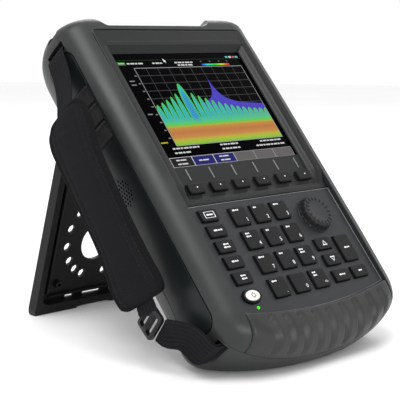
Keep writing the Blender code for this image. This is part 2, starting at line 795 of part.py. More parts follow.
def make_strap():
    """The hand strap on the left: webbing above and below a long pad, and a buckle."""
    webbing = material("webbing", BLACK, 0.85)
    band("strap_upper_webbing", UPPER_WEBBING, WEB_THICK, webbing)
    band("strap_pad", PAD, PAD_THICK, material("pad_fabric", BLACK, 0.9))
    band("strap_lower_webbing", LOWER_WEBBING, 2 * WEB_THICK, webbing)
    seat = empty("buckle_seat", LEANING, BUCKLE, (math.radians(-15), math.radians(8), 0))
    outlines = [rounded((0, 0), (21.0, 18.4), 3.0)]
    outlines += [rounded((0, up), (15.6, 4.6), 1.0) for up in (-4.2, 4.2)]
    plate("strap_buckle", outlines, (-1.7, 1.7), material("buckle", BLACK, 0.5), "side", seat)


clear_scene()
PARTS = new_collection("vector_network_analyser")
CUTTERS = new_collection("cutters")
CUTTERS.hide_render = True
LEANING = empty("leaning_case", None, (*FOOTPRINT_CENTRE, HEEL * math.sin(LEAN)), (-LEAN, 0, 0))
make_housings()
make_side_panels()
make_display()
make_keypad_plate()
make_keys()
make_knob()
make_electronics()
make_connectors()
make_stand()
make_strap()
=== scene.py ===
"""Looks for a handheld vector network analyser that leans back on its tilt stand.

Shapes are worked out in the instrument's own axes, in millimetres: x runs to the right, v from the
front panel to the back, and w up the instrument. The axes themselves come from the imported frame.
"""

import json
import logging
import math
from dataclasses import dataclass
from enum import Enum
from typing import Sequence

import bmesh
import bpy
import numpy as np
from mathutils import Matrix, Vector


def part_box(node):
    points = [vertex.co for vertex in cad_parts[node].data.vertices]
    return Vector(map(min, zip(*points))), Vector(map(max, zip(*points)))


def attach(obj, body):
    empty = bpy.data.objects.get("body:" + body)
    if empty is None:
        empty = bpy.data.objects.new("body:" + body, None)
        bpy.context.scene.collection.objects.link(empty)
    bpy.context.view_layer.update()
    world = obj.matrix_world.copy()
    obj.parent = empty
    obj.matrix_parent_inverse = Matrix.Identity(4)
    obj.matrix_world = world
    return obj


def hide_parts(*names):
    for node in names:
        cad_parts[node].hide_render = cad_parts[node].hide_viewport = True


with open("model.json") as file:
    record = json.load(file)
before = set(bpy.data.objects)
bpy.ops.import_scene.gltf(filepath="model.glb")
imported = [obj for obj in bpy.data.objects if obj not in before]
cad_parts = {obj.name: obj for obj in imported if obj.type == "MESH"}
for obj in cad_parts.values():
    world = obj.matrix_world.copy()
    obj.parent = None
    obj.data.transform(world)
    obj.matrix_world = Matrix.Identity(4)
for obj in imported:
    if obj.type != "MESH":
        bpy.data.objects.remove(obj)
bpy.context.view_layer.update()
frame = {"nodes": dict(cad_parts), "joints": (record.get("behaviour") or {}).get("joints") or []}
LOG = logging.getLogger("analyser")
MM = 0.001
Array = np.ndarray
Colour = tuple[float, float, float, float]


def shade(red: int, green: int, blue: int) -> Colour:
    """A display colour, 0 to 255 a channel, as the linear colour that a shader takes."""
    linear = [((c / 255 + 0.055) / 1.055) ** 2.4 if c > 10 else c / 255 / 12.92 for c in (red, green, blue)]
    return (*linear, 1.0)


# ---------------------------------------------------------------- axes


@dataclass(frozen=True)
class Axes:
    """A set of axes that shapes are worked out in: an origin in metres and three unit rows."""

    origin: Array
    basis: Array

    def world(self, points: Array) -> Array:
        """Points in millimetres along these axes, as metres in the row frame."""
        return self.origin + np.asarray(points, float) * MM @ self.basis

    def local(self, points: Array) -> Array:
        """Points in metres in the row frame, as millimetres along these axes."""
        return (np.asarray(points, float) - self.origin) @ self.basis.T / MM

    def box(self, node: str) -> tuple[Array, Array]:
        """Lowest and highest corner of a CAD node along these axes, in millimetres."""
        vertices = frame["nodes"][node].data.vertices
        points = np.empty(len(vertices) * 3, np.float32)
        vertices.foreach_get("co", points)
        inside = self.local(points.reshape(-1, 3))
        return inside.min(axis=0), inside.max(axis=0)


def joint(name: str) -> dict:
    """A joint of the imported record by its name."""
    return next(row for row in frame["joints"] if row["name"] == name)


HINGE = (0.0, 63.5, 264.4)


def instrument_axes() -> Axes:
    """The leaning case's axes: v runs along the knob's spindle; the hinge pin's middle fixes the origin."""
    depth = np.array(joint("knob_spin")["axis"], float)
    across = np.array((1.0, 0.0, 0.0))
    basis = np.stack([across, depth, np.cross(across, depth)])
    low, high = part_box("stand_hinge_pin")
    return Axes(np.array((low + high) / 2) - np.array(HINGE) * MM @ basis, basis)


def stand_axes(case: Axes) -> Axes:
    """The tilt stand's axes: its origin is on the hinge, and the leg hangs down its third axis."""
    spread = math.radians(abs(min(joint("stand_hinge")["range_deg"])))
    cos, sin = math.cos(spread), math.sin(spread)
    turn = np.array(((1, 0, 0), (0, cos, sin), (0, -sin, cos)))
    return Axes(case.world(np.array(HINGE)), turn @ case.basis)


CASE = instrument_axes()
STAND = stand_axes(CASE)


class Facing(Enum):
    """Which way a flat shape faces: its across, up and outward directions along the axes."""

    FRONT = ((1, 0, 0), (0, 0, 1), (0, -1, 0))
    BACK = ((-1, 0, 0), (0, 0, 1), (0, 1, 0))
    LEFT = ((0, 1, 0), (0, 0, 1), (-1, 0, 0))
    RIGHT = ((0, 1, 0), (0, 0, 1), (1, 0, 0))
    TOP = ((1, 0, 0), (0, 1, 0), (0, 0, 1))

    def lay(self, centre: Sequence[float], flat: Array, height: Array | float) -> Array:
        """Flat points (..., 2) and their heights, laid round a centre as points (..., 3)."""
        across, up, out = (np.array(axis, float) for axis in self.value)
        rise = np.broadcast_to(np.asarray(height, float), flat.shape[:-1])[..., None]
        return np.asarray(centre, float) + flat[..., :1] * across + flat[..., 1:] * up + rise * out


# ---------------------------------------------------------------- meshes


def build_mesh(name: str, points: Array, faces: list, axes: Axes = CASE) -> bpy.types.Object:
    """Links an object made of these points, which are placed by the axes, and these faces."""
    mesh = bpy.data.meshes.new(name)
    mesh.from_pydata(axes.world(points.reshape(-1, 3)).tolist(), [], faces)
    obj = bpy.data.objects.new(name, mesh)
    bpy.context.scene.collection.objects.link(obj)
    return obj


def grid_quads(rows: int, cols: int, wrap: bool = False) -> Array:
    """Corner numbers of each quad between neighbouring points of a grid, row by row."""
    index = np.arange(rows * cols).reshape(rows, cols)
    if wrap:
        index = np.concatenate([index, index[:, :1]], axis=1)
    corners = (index[:-1, :-1], index[:-1, 1:], index[1:, 1:], index[1:, :-1])
    return np.stack(corners, axis=-1).reshape(-1, 4)


def finish_mesh(obj: bpy.types.Object, sharp: float = 35.0, outward: bool = True) -> bpy.types.Object:
    """Closes seams and poles, turns a closed skin outwards, and shades it smooth up to an angle."""
    bm = bmesh.new()
    bm.from_mesh(obj.data)
    bmesh.ops.remove_doubles(bm, verts=bm.verts, dist=2e-6)
    if outward:
        bmesh.ops.recalc_face_normals(bm, faces=bm.faces)
    bm.to_mesh(obj.data)
    bm.free()
    obj.data.shade_smooth()
    obj.data.set_sharp_from_angle(angle=math.radians(sharp))
    return obj


def skin(name: str, rings: Array, axes: Axes = CASE, sharp: float = 35.0) -> bpy.types.Object:
    """A closed skin: each ring of points is joined to the next, and the two end rings are capped.

    Args:
        name: The new object's name.
        rings: Points as (ring, point, axis), in millimetres.
        axes: The axes that the points are measured along.
        sharp: The angle, in degrees, above which an edge stays sharp.

    Returns:
        The linked object.
    """
    rows, cols = rings.shape[:2]
    ends = [list(range(cols))[::-1], list(range((rows - 1) * cols, rows * cols))]
    obj = build_mesh(name, rings, grid_quads(rows, cols, wrap=True).tolist() + ends, axes)
    return finish_mesh(obj, sharp)


def rounded_loop(half: Sequence[float], radius: float, steps: int = 6) -> Array:
    """A rectangle's outline with round corners: a quarter circle about each corner's centre."""
    radius = max(0.02, min(radius, min(half) - 0.01))
    turn = np.radians(np.linspace(0, 90, steps + 1))[None] + np.radians((0, 90, 180, 270))[:, None]
    corner = np.array(((1, 1), (-1, 1), (-1, -1), (1, -1)), float) * (np.array(half) - radius)
    points = corner[:, None] + radius * np.stack([np.cos(turn), np.sin(turn)], axis=-1)
    return points.reshape(-1, 2)


def round_loop(radius: float, count: int) -> Array:
    """A circle's points, counted anticlockwise."""
    turn = np.linspace(0, 2 * np.pi, count, endpoint=False)
    return radius * np.stack([np.cos(turn), np.sin(turn)], axis=-1)


def pillow(
    name: str, centre: Sequence[float], half: Sequence[float], radius: float, profile: Array,
    facing: Facing = Facing.FRONT, axes: Axes = CASE, steps: int = 6, sharp: float = 35.0,
) -> bpy.types.Object:
    """A closed pad: its outline shrinks by each inset of the profile while it rises to each height.

    Args:
        name: The new object's name.
        centre: The middle of its outline, in millimetres.
        half: Half its outline's width and height.
        radius: The outline's corner radius.
        profile: Rows of (inset, height) from the back edge, round the rim, to the middle.
        facing: The way that its front faces.
        axes: The axes that it is measured along.
        steps: Points along each corner.
        sharp: The angle above which an edge stays sharp.

    Returns:
        The linked object.
    """
    loops = [rounded_loop(np.array(half) - inset, radius - inset, steps) for inset, _ in profile]
    rings = facing.lay(centre, np.stack(loops), np.array(profile)[:, 1][:, None])
    return skin(name, rings, axes, sharp)


def rounded_rim(height: float, root: float, radius: float, crown: float = 0.0, reach: float = 0.0) -> Array:
    """A profile for a pillow: up the side, round the edge on a quarter circle, and over a low crown."""
    turn = np.radians(np.linspace(0, 90, 6))
    rim = np.stack([radius * (1 - np.cos(turn)), height - radius + radius * np.sin(turn)], axis=-1)
    share = np.linspace(0.2, 1, 5)
    top = np.stack([radius + share * reach, height + crown * (1 - (1 - share) ** 2)], axis=-1)
    parts = [np.array([[0.0, -root]]), rim] + ([top] if reach else [])
    return np.concatenate(parts)


def turned(
    name: str, centre: Sequence[float], profile: Array, facing: Facing, axes: Axes = CASE,
    count: int = 48, waist: Array | None = None, sharp: float = 35.0,
) -> bpy.types.Object:
    """A turned piece: each (radius, height) of the profile is a circle about the facing axis.

    A waist, given as (row, point) shares, scales each circle's radius to flute it.
    """
    loop = round_loop(1.0, count)[None] * np.maximum(np.array(profile)[:, :1], 1e-4)[..., None]
    if waist is not None:
        loop = loop * waist[..., None]
    return skin(name, facing.lay(centre, loop, np.array(profile)[:, 1][:, None]), axes, sharp)


def prism(
    name: str, outline: Array, centre: Sequence[float], depth: float,
    facing: Facing = Facing.FRONT, axes: Axes = CASE, sharp: float = 35.0,
) -> bpy.types.Object:
    """A flat outline given a thickness, from the centre's plane outwards."""
    rings = facing.lay(centre, np.stack([outline, outline]), np.array([[0.0], [depth]]))
    return skin(name, rings, axes, sharp)


def block(
    low: Sequence[float], high: Sequence[float], axes: Axes = CASE, name: str = "cutter",
) -> bpy.types.Object:
    """A plain box between two corners, for cutting."""
    low, high = np.array(low, float), np.array(high, float)
    outline = rounded_loop((high - low)[[0, 2]] / 2, 0.02, 1)
    middle = (low + high) / 2
    return prism(name, outline, (middle[0], high[1], middle[2]), high[1] - low[1], Facing.FRONT, axes)


def joined(name: str, parts: Sequence[bpy.types.Object]) -> bpy.types.Object:
    """One object from several, which are removed."""
    bm = bmesh.new()
    for part in parts:
        bm.from_mesh(part.data)
        bpy.data.objects.remove(part)
    mesh = bpy.data.meshes.new(name)
    bm.to_mesh(mesh)
    bm.free()
    obj = bpy.data.objects.new(name, mesh)
    bpy.context.scene.collection.objects.link(obj)
    return obj


def carve(obj: bpy.types.Object, steps: Sequence[tuple[str, bpy.types.Object]], sharp: float = 30.0) -> None:
    """Cuts, joins or intersects a mesh with others in turn, and bakes in the result."""
    for operation, other in steps:
        modifier = obj.modifiers.new(operation.lower(), "BOOLEAN")
        modifier.operation, modifier.object, modifier.solver = operation, other, "EXACT"
    bake_modifiers(obj)
    for other in {other for _, other in steps}:
        bpy.data.objects.remove(other)
    finish_mesh(obj, sharp, outward=False)


def bake_modifiers(obj: bpy.types.Object) -> None:
    """Replaces a mesh by what its modifiers make of it."""
    graph = bpy.context.evaluated_depsgraph_get()
    made = bpy.data.meshes.new_from_object(obj.evaluated_get(graph))
    obj.modifiers.clear()
    obj.data = made


def keep_flats_flat(obj: bpy.types.Object) -> None:
    """Weights normals by face area, so that large flat faces stay flat beside small curved ones."""
    modifier = obj.modifiers.new("even_normals", "WEIGHTED_NORMAL")
    modifier.keep_sharp = True


def lettering(text: str, size: float) -> Array | tuple:
    """A few generic characters as a flat mesh: its points, in millimetres, and its faces."""
    curve = bpy.data.curves.new("glyph", "FONT")
    curve.body, curve.size, curve.align_x, curve.align_y = text, size, "CENTER", "CENTER"
    curve.resolution_u, curve.extrude = 3, 0.06
    holder = bpy.data.objects.new("glyph", curve)
    bpy.context.scene.collection.objects.link(holder)
    graph = bpy.context.evaluated_depsgraph_get()
    mesh = bpy.data.meshes.new_from_object(holder.evaluated_get(graph))
    points = np.empty(len(mesh.vertices) * 3, np.float32)
    mesh.vertices.foreach_get("co", points)
    faces = [list(polygon.vertices) for polygon in mesh.polygons]
    bpy.data.objects.remove(holder)
    return points.reshape(-1, 3), faces


def engraved(
    text: str, size: float, centre: Sequence[float], facing: Facing = Facing.FRONT,
) -> bpy.types.Object:
    """Printed characters on a face, a hair proud of it."""
    points, faces = lettering(text, size)
    laid = facing.lay(centre, points[:, :2].astype(float), points[:, 2].astype(float))
    return finish_mesh(build_mesh("print", laid, faces), outward=True)


def bar(
    centre: Sequence[float], size: Sequence[float], facing: Facing = Facing.FRONT, rise: float = 0.06,
) -> bpy.types.Object:
    """A short printed bar that stands where a word would be."""
    return prism("print", rounded_loop(np.array(size) / 2, min(size) * 0.3, 2), centre, rise, facing)


def smooth_path(points: Sequence[Sequence[float]], count: int) -> Array:
    """Catmull-Rom curve through every column: each span is the usual cubic of its four neighbours."""
    rows = np.array(points, float)
    padded = np.concatenate([[2 * rows[0] - rows[1]], rows, [2 * rows[-1] - rows[-2]]])
    at = np.linspace(0, len(rows) - 1, count)
    span = np.minimum(at.astype(int), len(rows) - 2)
    t = (at - span)[:, None]
    a, b, c, d = (padded[span + k] for k in range(4))
    return 0.5 * (2 * b + (c - a) * t + (2 * a - 5 * b + 4 * c - d) * t**2 + (3 * b - a - 3 * c + d) * t**3)


# ---------------------------------------------------------------- materials


class Wiring:
    """Adds nodes to a tree and joins their sockets."""

    def __init__(self, tree: bpy.types.NodeTree) -> None:
        """Keeps the tree that nodes are added to."""
        self.tree = tree

    def node(self, kind: str, inputs: dict | None = None, **settings: object) -> bpy.types.Node:
        """Adds a node, sets its properties and feeds its inputs by name or number."""
        made = self.tree.nodes.new(kind)
        for key, value in settings.items():
            setattr(made, key, value)
        for key, value in (inputs or {}).items():
            self.feed(made.inputs[key], value)
        return made

    def feed(self, socket: bpy.types.NodeSocket, value: object) -> None:
        """Links a socket to another, or sets its own value."""
        if isinstance(value, bpy.types.NodeSocket):
            self.tree.links.new(value, socket)
        else:
            socket.default_value = value

    def math(self, operation: str, *operands: object, clamp: bool = False) -> bpy.types.NodeSocket:
        """The result of a Math node."""
        return self.node(
            "ShaderNodeMath", dict(enumerate(operands)), operation=operation, use_clamp=clamp,
        ).outputs[0]

    def mix(self, factor: object, first: object, second: object) -> bpy.types.NodeSocket:
        """Two colours mixed by a factor."""
        return self.node("ShaderNodeMix", {0: factor, 6: first, 7: second}, data_type="RGBA").outputs[2]

    def noise(self, vector: object, scale: object, detail: float = 2.0) -> bpy.types.NodeSocket:
        """A noise texture's value, from 0 to 1."""
        inputs = {"Vector": vector, "Scale": scale, "Detail": detail}
        return self.node("ShaderNodeTexNoise", inputs).outputs[0]

    def remap(self, value: object, low: float, high: float) -> bpy.types.NodeSocket:
        """A value's share of the way from low to high, held between 0 and 1."""
        return self.node("ShaderNodeMapRange", {0: value, 1: low, 2: high}).outputs[0]


class Effects:
    """Shader node groups that several finishes share, each built once."""

    SOCKETS = {"v": "NodeSocketVector", "c": "NodeSocketColor", "f": "NodeSocketFloat"}

    def __init__(self) -> None:
        """Builds every group."""
        self.grain = self.build_grain()
        self.dust = self.build_dust()
        self.weave = self.build_weave()

    def new_group(self, name: str, inputs: dict, outputs: dict) -> tuple:
        """A group with typed sockets: returns its tree, its wiring, and its input and output nodes."""
        tree = bpy.data.node_groups.new(name, "ShaderNodeTree")
        for way, sockets in (("INPUT", inputs), ("OUTPUT", outputs)):
            for label, kind in sockets.items():
                tree.interface.new_socket(name=label, in_out=way, socket_type=self.SOCKETS[kind])
        wiring = Wiring(tree)
        return tree, wiring, wiring.node("NodeGroupInput").outputs, wiring.node("NodeGroupOutput").inputs

    def build_grain(self) -> bpy.types.NodeTree:
        """Moulded grain: fine noise for the height, and broad noise that mottles colour and roughness."""
        inputs = {"Vector": "v", "Scale": "f", "Shade": "c", "Second": "c", "Roughness": "f", "Spread": "f"}
        outputs = {"Color": "c", "Roughness": "f", "Height": "f"}
        tree, wiring, given, made = self.new_group("moulded_grain", inputs, outputs)
        fine = wiring.noise(given["Vector"], given["Scale"], 3.0)
        broad = wiring.noise(given["Vector"], wiring.math("MULTIPLY", given["Scale"], 0.02), 3.0)
        mottle = wiring.remap(wiring.math("ADD", wiring.math("MULTIPLY", fine, 0.35), broad), 0.4, 0.95)
        wiring.feed(made["Color"], wiring.mix(mottle, given["Shade"], given["Second"]))
        offset = wiring.math("MULTIPLY", wiring.math("SUBTRACT", mottle, 0.5), given["Spread"])
        wiring.feed(made["Roughness"], wiring.math("ADD", given["Roughness"], offset, clamp=True))
        wiring.feed(made["Height"], fine)
        return tree

    def build_dust(self) -> bpy.types.NodeTree:
        """Settled dust: a pale tone on what faces up, broken up by noise."""
        inputs = {"Vector": "v", "Color": "c", "Dust": "c", "Amount": "f"}
        tree, wiring, given, made = self.new_group("settled_dust", inputs, {"Color": "c"})
        normal = wiring.node("ShaderNodeNewGeometry").outputs["Normal"]
        rise = wiring.node("ShaderNodeSeparateXYZ", {0: normal}).outputs[2]
        upward = wiring.remap(rise, 0.45, 1.0)
        patchy = wiring.remap(wiring.noise(given["Vector"], 55.0, 4.0), 0.35, 0.75)
        amount = wiring.math("MULTIPLY", wiring.math("MULTIPLY", upward, patchy), given["Amount"])
        wiring.feed(made["Color"], wiring.mix(amount, given["Color"], given["Dust"]))
        return tree

    def build_weave(self) -> bpy.types.NodeTree:
        """Woven cloth: warp and weft are sine waves along the UV map, one phase-shifted by the other. The
        height drives the bump; its remapped share is a painted highlight on the thread crowns and painted
        shade in the gaps.
        """
        inputs = {"UV": "v", "Warp": "f", "Weft": "f", "Skew": "f"}
        tree, wiring, given, made = self.new_group("woven_cloth", inputs, {"Height": "f", "Painted_highlight": "f"})
        split = wiring.node("ShaderNodeSeparateXYZ", {0: given["UV"]}).outputs
        across = wiring.math("MULTIPLY", split[0], given["Warp"])
        along = wiring.math("MULTIPLY", split[1], given["Weft"])
        slanted = wiring.math("ADD", along, wiring.math("MULTIPLY", across, given["Skew"]))
        warp = wiring.math("SINE", wiring.math("MULTIPLY", across, 2 * math.pi))
        weft = wiring.math("SINE", wiring.math("MULTIPLY", slanted, 2 * math.pi))
        woven = wiring.math("ADD", wiring.math("MULTIPLY", weft, 0.7), wiring.math("MULTIPLY", warp, 0.3))
        height = wiring.math("ADD", wiring.math("MULTIPLY", woven, 0.5), 0.5)
        fibre = wiring.noise(given["UV"], 2600.0, 2.0)
        wiring.feed(made["Height"], wiring.math("ADD", height, wiring.math("MULTIPLY", fibre, 0.35)))
        # Painted light: this share only colours the thread crowns lighter (painted highlight) and the gaps
        # darker (painted shade).
        wiring.feed(made["Painted_highlight"], wiring.remap(height, 0.15, 0.9))
        return tree


EFFECTS = Effects()
DUST = shade(150, 148, 142)


def new_material(name: str) -> tuple[bpy.types.Material, Wiring, bpy.types.Node]:
    """A node material with its wiring and its Principled shader."""
    made = bpy.data.materials.new(name)
    made.use_nodes = True
    return made, Wiring(made.node_tree), made.node_tree.nodes["Principled BSDF"]


@dataclass(frozen=True)
class Moulded:
    """A moulded, painted or cast finish with grain, mottling and a little dust."""

    name: str
    tone: Colour
    second: Colour
    roughness: float = 0.5
    spread: float = 0.12
    grain: float = 1500.0
    relief: float = 0.25
    dust: float = 0.05
    metallic: float = 0.0
    specular: float = 0.5
    coat: float = 0.0
    rounding: float = 0.0
    stretch: tuple[float, float, float] = (1.0, 1.0, 1.0)

    def make(self) -> bpy.types.Material:
        """Builds the material: the grain group feeds colour, roughness and a bump on rounded edges."""
        made, wiring, shader = new_material(self.name)
        where = wiring.node("ShaderNodeTexCoord").outputs["Object"]
        if self.stretch != (1.0, 1.0, 1.0):
            where = wiring.node("ShaderNodeMapping", {"Vector": where, "Scale": self.stretch}).outputs[0]
        grain = wiring.node("ShaderNodeGroup", node_tree=EFFECTS.grain)
        values = (where, self.grain, self.tone, self.second, self.roughness, self.spread)
        for label, value in zip(("Vector", "Scale", "Shade", "Second", "Roughness", "Spread"), values):
            wiring.feed(grain.inputs[label], value)
        colour = grain.outputs["Color"]
        if self.dust:
            dusty = wiring.node("ShaderNodeGroup", node_tree=EFFECTS.dust)
            for label, value in (("Vector", where), ("Color", colour), ("Dust", DUST), ("Amount", self.dust)):
                wiring.feed(dusty.inputs[label], value)
            colour = dusty.outputs["Color"]
        bump = wiring.node("ShaderNodeBump", {"Strength": self.relief, "Distance": 0.00008})
        wiring.feed(bump.inputs["Height"], grain.outputs["Height"])
        if self.rounding:
            edge = wiring.node("ShaderNodeBevel", {"Radius": self.rounding * MM}, samples=4)
            wiring.feed(bump.inputs["Normal"], edge.outputs[0])
        for label, value in (
            ("Base Color", colour), ("Roughness", grain.outputs["Roughness"]), ("Normal", bump.outputs[0]),
            ("Metallic", self.metallic), ("Specular IOR Level", self.specular), ("Coat Weight", self.coat),
        ):
            wiring.feed(shader.inputs[label], value)
        return made


@dataclass(frozen=True)
class Woven:
    """Cloth or webbing whose threads follow the piece's UV map, which is in metres. Its thread colour is a
    painted highlight on the thread crowns; its tone is the cloth's own dark colour and also painted shade in
    the gaps.
    """

    name: str
    tone: Colour
    # painted highlight colour for the thread crowns
    thread: Colour
    warp: float
    weft: float
    skew: float = 0.0
    relief: float = 0.6
    sheen: float = 0.25

    def make(self) -> bpy.types.Material:
        """Builds the material: the weave group lifts the threads and mixes the two tones by thread height, as
        a painted highlight on the crowns and painted shade in the gaps.
        """
        made, wiring, shader = new_material(self.name)
        where = wiring.node("ShaderNodeUVMap", uv_map="cloth").outputs[0]
        weave = wiring.node("ShaderNodeGroup", node_tree=EFFECTS.weave)
        for label, value in (("UV", where), ("Warp", self.warp), ("Weft", self.weft), ("Skew", self.skew)):
            wiring.feed(weave.inputs[label], value)
        worn = wiring.remap(wiring.noise(where, 60.0, 4.0), 0.3, 0.8)
        # lit: the painted highlight on the thread crowns, broken up by the wear noise
        lit = wiring.math(
            "MULTIPLY", weave.outputs["Painted_highlight"],
            wiring.math("ADD", wiring.math("MULTIPLY", worn, 0.5), 0.5),
        )
        bump = wiring.node("ShaderNodeBump", {"Strength": self.relief, "Distance": 0.00025})
        wiring.feed(bump.inputs["Height"], weave.outputs["Height"])
        rough = wiring.math("ADD", wiring.math("MULTIPLY", worn, 0.12), 0.8)
        for label, value in (
            ("Base Color", wiring.mix(lit, self.tone, self.thread)), ("Roughness", rough),
            ("Normal", bump.outputs[0]), ("Sheen Weight", self.sheen), ("Specular IOR Level", 0.12),
        ):
            wiring.feed(shader.inputs[label], value)
        return made


@dataclass(frozen=True)
class Lit:
    """A glowing finish: the piece's own tint, dimmed a little between the display's dots."""

    name: str
    strength: float = 1.0

    def make(self) -> bpy.types.Material:
        """Builds the material from the piece's tint attribute."""
        made, wiring, shader = new_material(self.name)
        tint = wiring.node("ShaderNodeAttribute", attribute_name="tint").outputs[0]
        where = wiring.node("ShaderNodeTexCoord").outputs["Object"]
        across = wiring.node("ShaderNodeSeparateXYZ", {0: where}).outputs[0]
        dots = wiring.math("SINE", wiring.math("MULTIPLY", across, 2 * math.pi / 0.00028))
        dim = wiring.math("ADD", wiring.math("MULTIPLY", dots, 0.05), 0.95)
        colour = wiring.mix(dim, (0.0, 0.0, 0.0, 1.0), tint)
        for label, value in (
            ("Base Color", (0.002, 0.002, 0.002, 1.0)), ("Emission Color", colour),
            ("Emission Strength", self.strength), ("Roughness", 0.3), ("Specular IOR Level", 0.1),
        ):
            wiring.feed(shader.inputs[label], value)
        return made


class Finish(Enum):
    """Every finish on the instrument."""

    HOUSING = Moulded(
        "housing", shade(34, 36, 36), shade(41, 43, 43), 0.4, 0.14, 1700, 0.3, 0.04, specular=0.32,
        rounding=0.5,
    )
    BUMPER = Moulded(
        "bumper_rubber", shade(32, 33, 33), shade(41, 42, 41), 0.42, 0.14, 1300, 0.4, 0.05, specular=0.35,
        rounding=0.5,
    )
    INLAY = Moulded(
        "side_inlay", shade(14, 18, 19), shade(20, 24, 25), 0.36, 0.14, 1500, 0.3, 0.02, specular=0.25,
        rounding=0.3,
    )
    DOOR = Moulded(
        "door_rubber", shade(30, 31, 30), shade(40, 41, 39), 0.5, 0.15, 1200, 0.4, 0.03, specular=0.25,
        rounding=0.3,
    )
    BEZEL = Moulded(
        "bezel", shade(10, 12, 13), shade(15, 17, 18), 0.36, 0.12, 1600, 0.25, 0.02, specular=0.28,
    )
    PLATE = Moulded(
        "keypad_plate", shade(33, 35, 37), shade(40, 42, 44), 0.44, 0.12, 1500, 0.25, 0.03, specular=0.3,
        rounding=0.3,
    )
    KEY = Moulded(
        "key_rubber", shade(9, 10, 11), shade(15, 16, 17), 0.48, 0.15, 1400, 0.3, 0.02, specular=0.22,
    )
    # Pale tone: print on the softkey ticks, and a painted highlight on the plate's edge line.
    PRINT_AND_PAINTED_HIGHLIGHT = Moulded("print_and_painted_highlight", shade(86, 88, 90), shade(100, 102, 104), 0.4, 0.12, 1500, 0.2, 0.02)
    KNOB = Moulded(
        "knob_rubber", shade(12, 13, 14), shade(20, 21, 22), 0.46, 0.15, 1200, 0.35, 0.03, specular=0.3,
    )
    LEGEND = Moulded("legend_ink", shade(225, 226, 228), shade(205, 206, 208), 0.6, 0.1, 900, 0.1, 0.0)
    DARK_INK = Moulded("dark_ink", shade(30, 30, 32), shade(42, 42, 44), 0.6, 0.1, 900, 0.1, 0.0)
    CAP = Moulded("power_cap", shade(214, 214, 208), shade(196, 196, 190), 0.34, 0.1, 900, 0.15, 0.02)
    STAND = Moulded(
        "stand_plastic", shade(9, 10, 11), shade(15, 16, 17), 0.4, 0.14, 1500, 0.3, 0.02, specular=0.2,
        rounding=0.5,
    )
    BUCKLE = Moulded(
        "buckle_plastic", shade(10, 11, 12), shade(17, 18, 19), 0.36, 0.12, 1300, 0.3, 0.02, specular=0.3,
    )
    STEEL = Moulded(
        "turned_steel", shade(176, 176, 178), shade(150, 150, 154), 0.28, 0.2, 900, 0.15, 0.0,
        metallic=1.0,
    )
    BRASS = Moulded(
        "gilt_contact", shade(214, 176, 96), shade(190, 150, 76), 0.3, 0.2, 900, 0.15, 0.0, metallic=1.0,
    )
    BAY = Moulded(
        "bay_plate", shade(70, 72, 74), shade(84, 86, 88), 0.4, 0.2, 700, 0.2, 0.05, metallic=0.6,
        stretch=(1, 8, 8),
    )
    INSULATOR = Moulded("insulator", shade(226, 222, 210), shade(206, 202, 190), 0.5, 0.1, 900, 0.1, 0.0)
    CIRCUIT = Moulded("circuit_board", shade(18, 82, 44), shade(30, 104, 60), 0.4, 0.2, 260, 0.5, 0.0)
    SHIELD = Moulded(
        "shield_can", shade(170, 172, 172), shade(146, 148, 150), 0.34, 0.2, 500, 0.2, 0.0, metallic=1.0,
    )
    BATTERY = Moulded("battery_case", shade(34, 36, 40), shade(46, 48, 52), 0.45, 0.15, 900, 0.25, 0.0)
    LABEL = Moulded("blank_label", shade(168, 170, 172), shade(150, 152, 154), 0.5, 0.1, 700, 0.1, 0.03)
    # For the woven finishes the lighter second colour is a painted highlight on the thread crowns.
    PAD = Woven("pad_fabric", shade(8, 8, 9), shade(29, 30, 33), 520.0, 900.0, 0.12, 0.9, 0.0)
    BINDING = Woven("binding_tape", shade(6, 6, 7), shade(19, 20, 22), 900.0, 900.0, 0.5, 0.5, 0.0)
    WEBBING = Woven("webbing", shade(4, 4, 5), shade(36, 37, 40), 300.0, 900.0, 1.0, 0.9, 0.0)
    THREAD = Moulded(
        "stitch_thread", shade(26, 27, 29), shade(40, 41, 43), 0.7, 0.1, 2500, 0.4, 0.0, specular=0.2,
    )
    SCREEN = Moulded(
        "screen_glass", shade(0, 0, 1), shade(1, 1, 2), 0.14, 0.04, 300, 0.02, 0.0, specular=0.01,
    )
    DISPLAY = Lit("display_light", 1.0)
    LAMP = Lit("status_lamp", 1.6)


MADE: dict[Finish, bpy.types.Material] = {}


def dress(obj: bpy.types.Object, finish: Finish) -> None:
    """Gives an object one finish, whose material is built the first time it is used."""
    if finish not in MADE:
        MADE[finish] = finish.value.make()
    obj.data.materials.clear()
    obj.data.materials.append(MADE[finish])


def add_piece(
    obj: bpy.types.Object, finish: Finish, body: str = "case",
    replaces: Sequence[str] = (),
) -> bpy.types.Object:
    """Dresses a new piece, lets it ride on a body, and hides the CAD nodes that it stands for.

    Args:
        obj: The piece, with its place in its mesh.
        finish: Its finish.
        body: The CAD body it moves with.
        replaces: The CAD nodes that it stands for.

    Returns:
        The same piece.
    """
    dress(obj, finish)
    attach(obj, body)
    if replaces:
        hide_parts(*replaces)
    LOG.info("%s rides on %s with %d faces", obj.name, body, len(obj.data.polygons))
    return obj


def tint(obj: bpy.types.Object, colours: Array) -> None:
    """Stores one linear colour a point in the mesh's tint attribute."""
    attribute = obj.data.attributes.new("tint", "FLOAT_COLOR", "POINT")
    rows = np.broadcast_to(np.asarray(colours, np.float32), (len(obj.data.vertices), 4))
    attribute.data.foreach_set("color", np.ascontiguousarray(rows).ravel())


# ---------------------------------------------------------------- the case


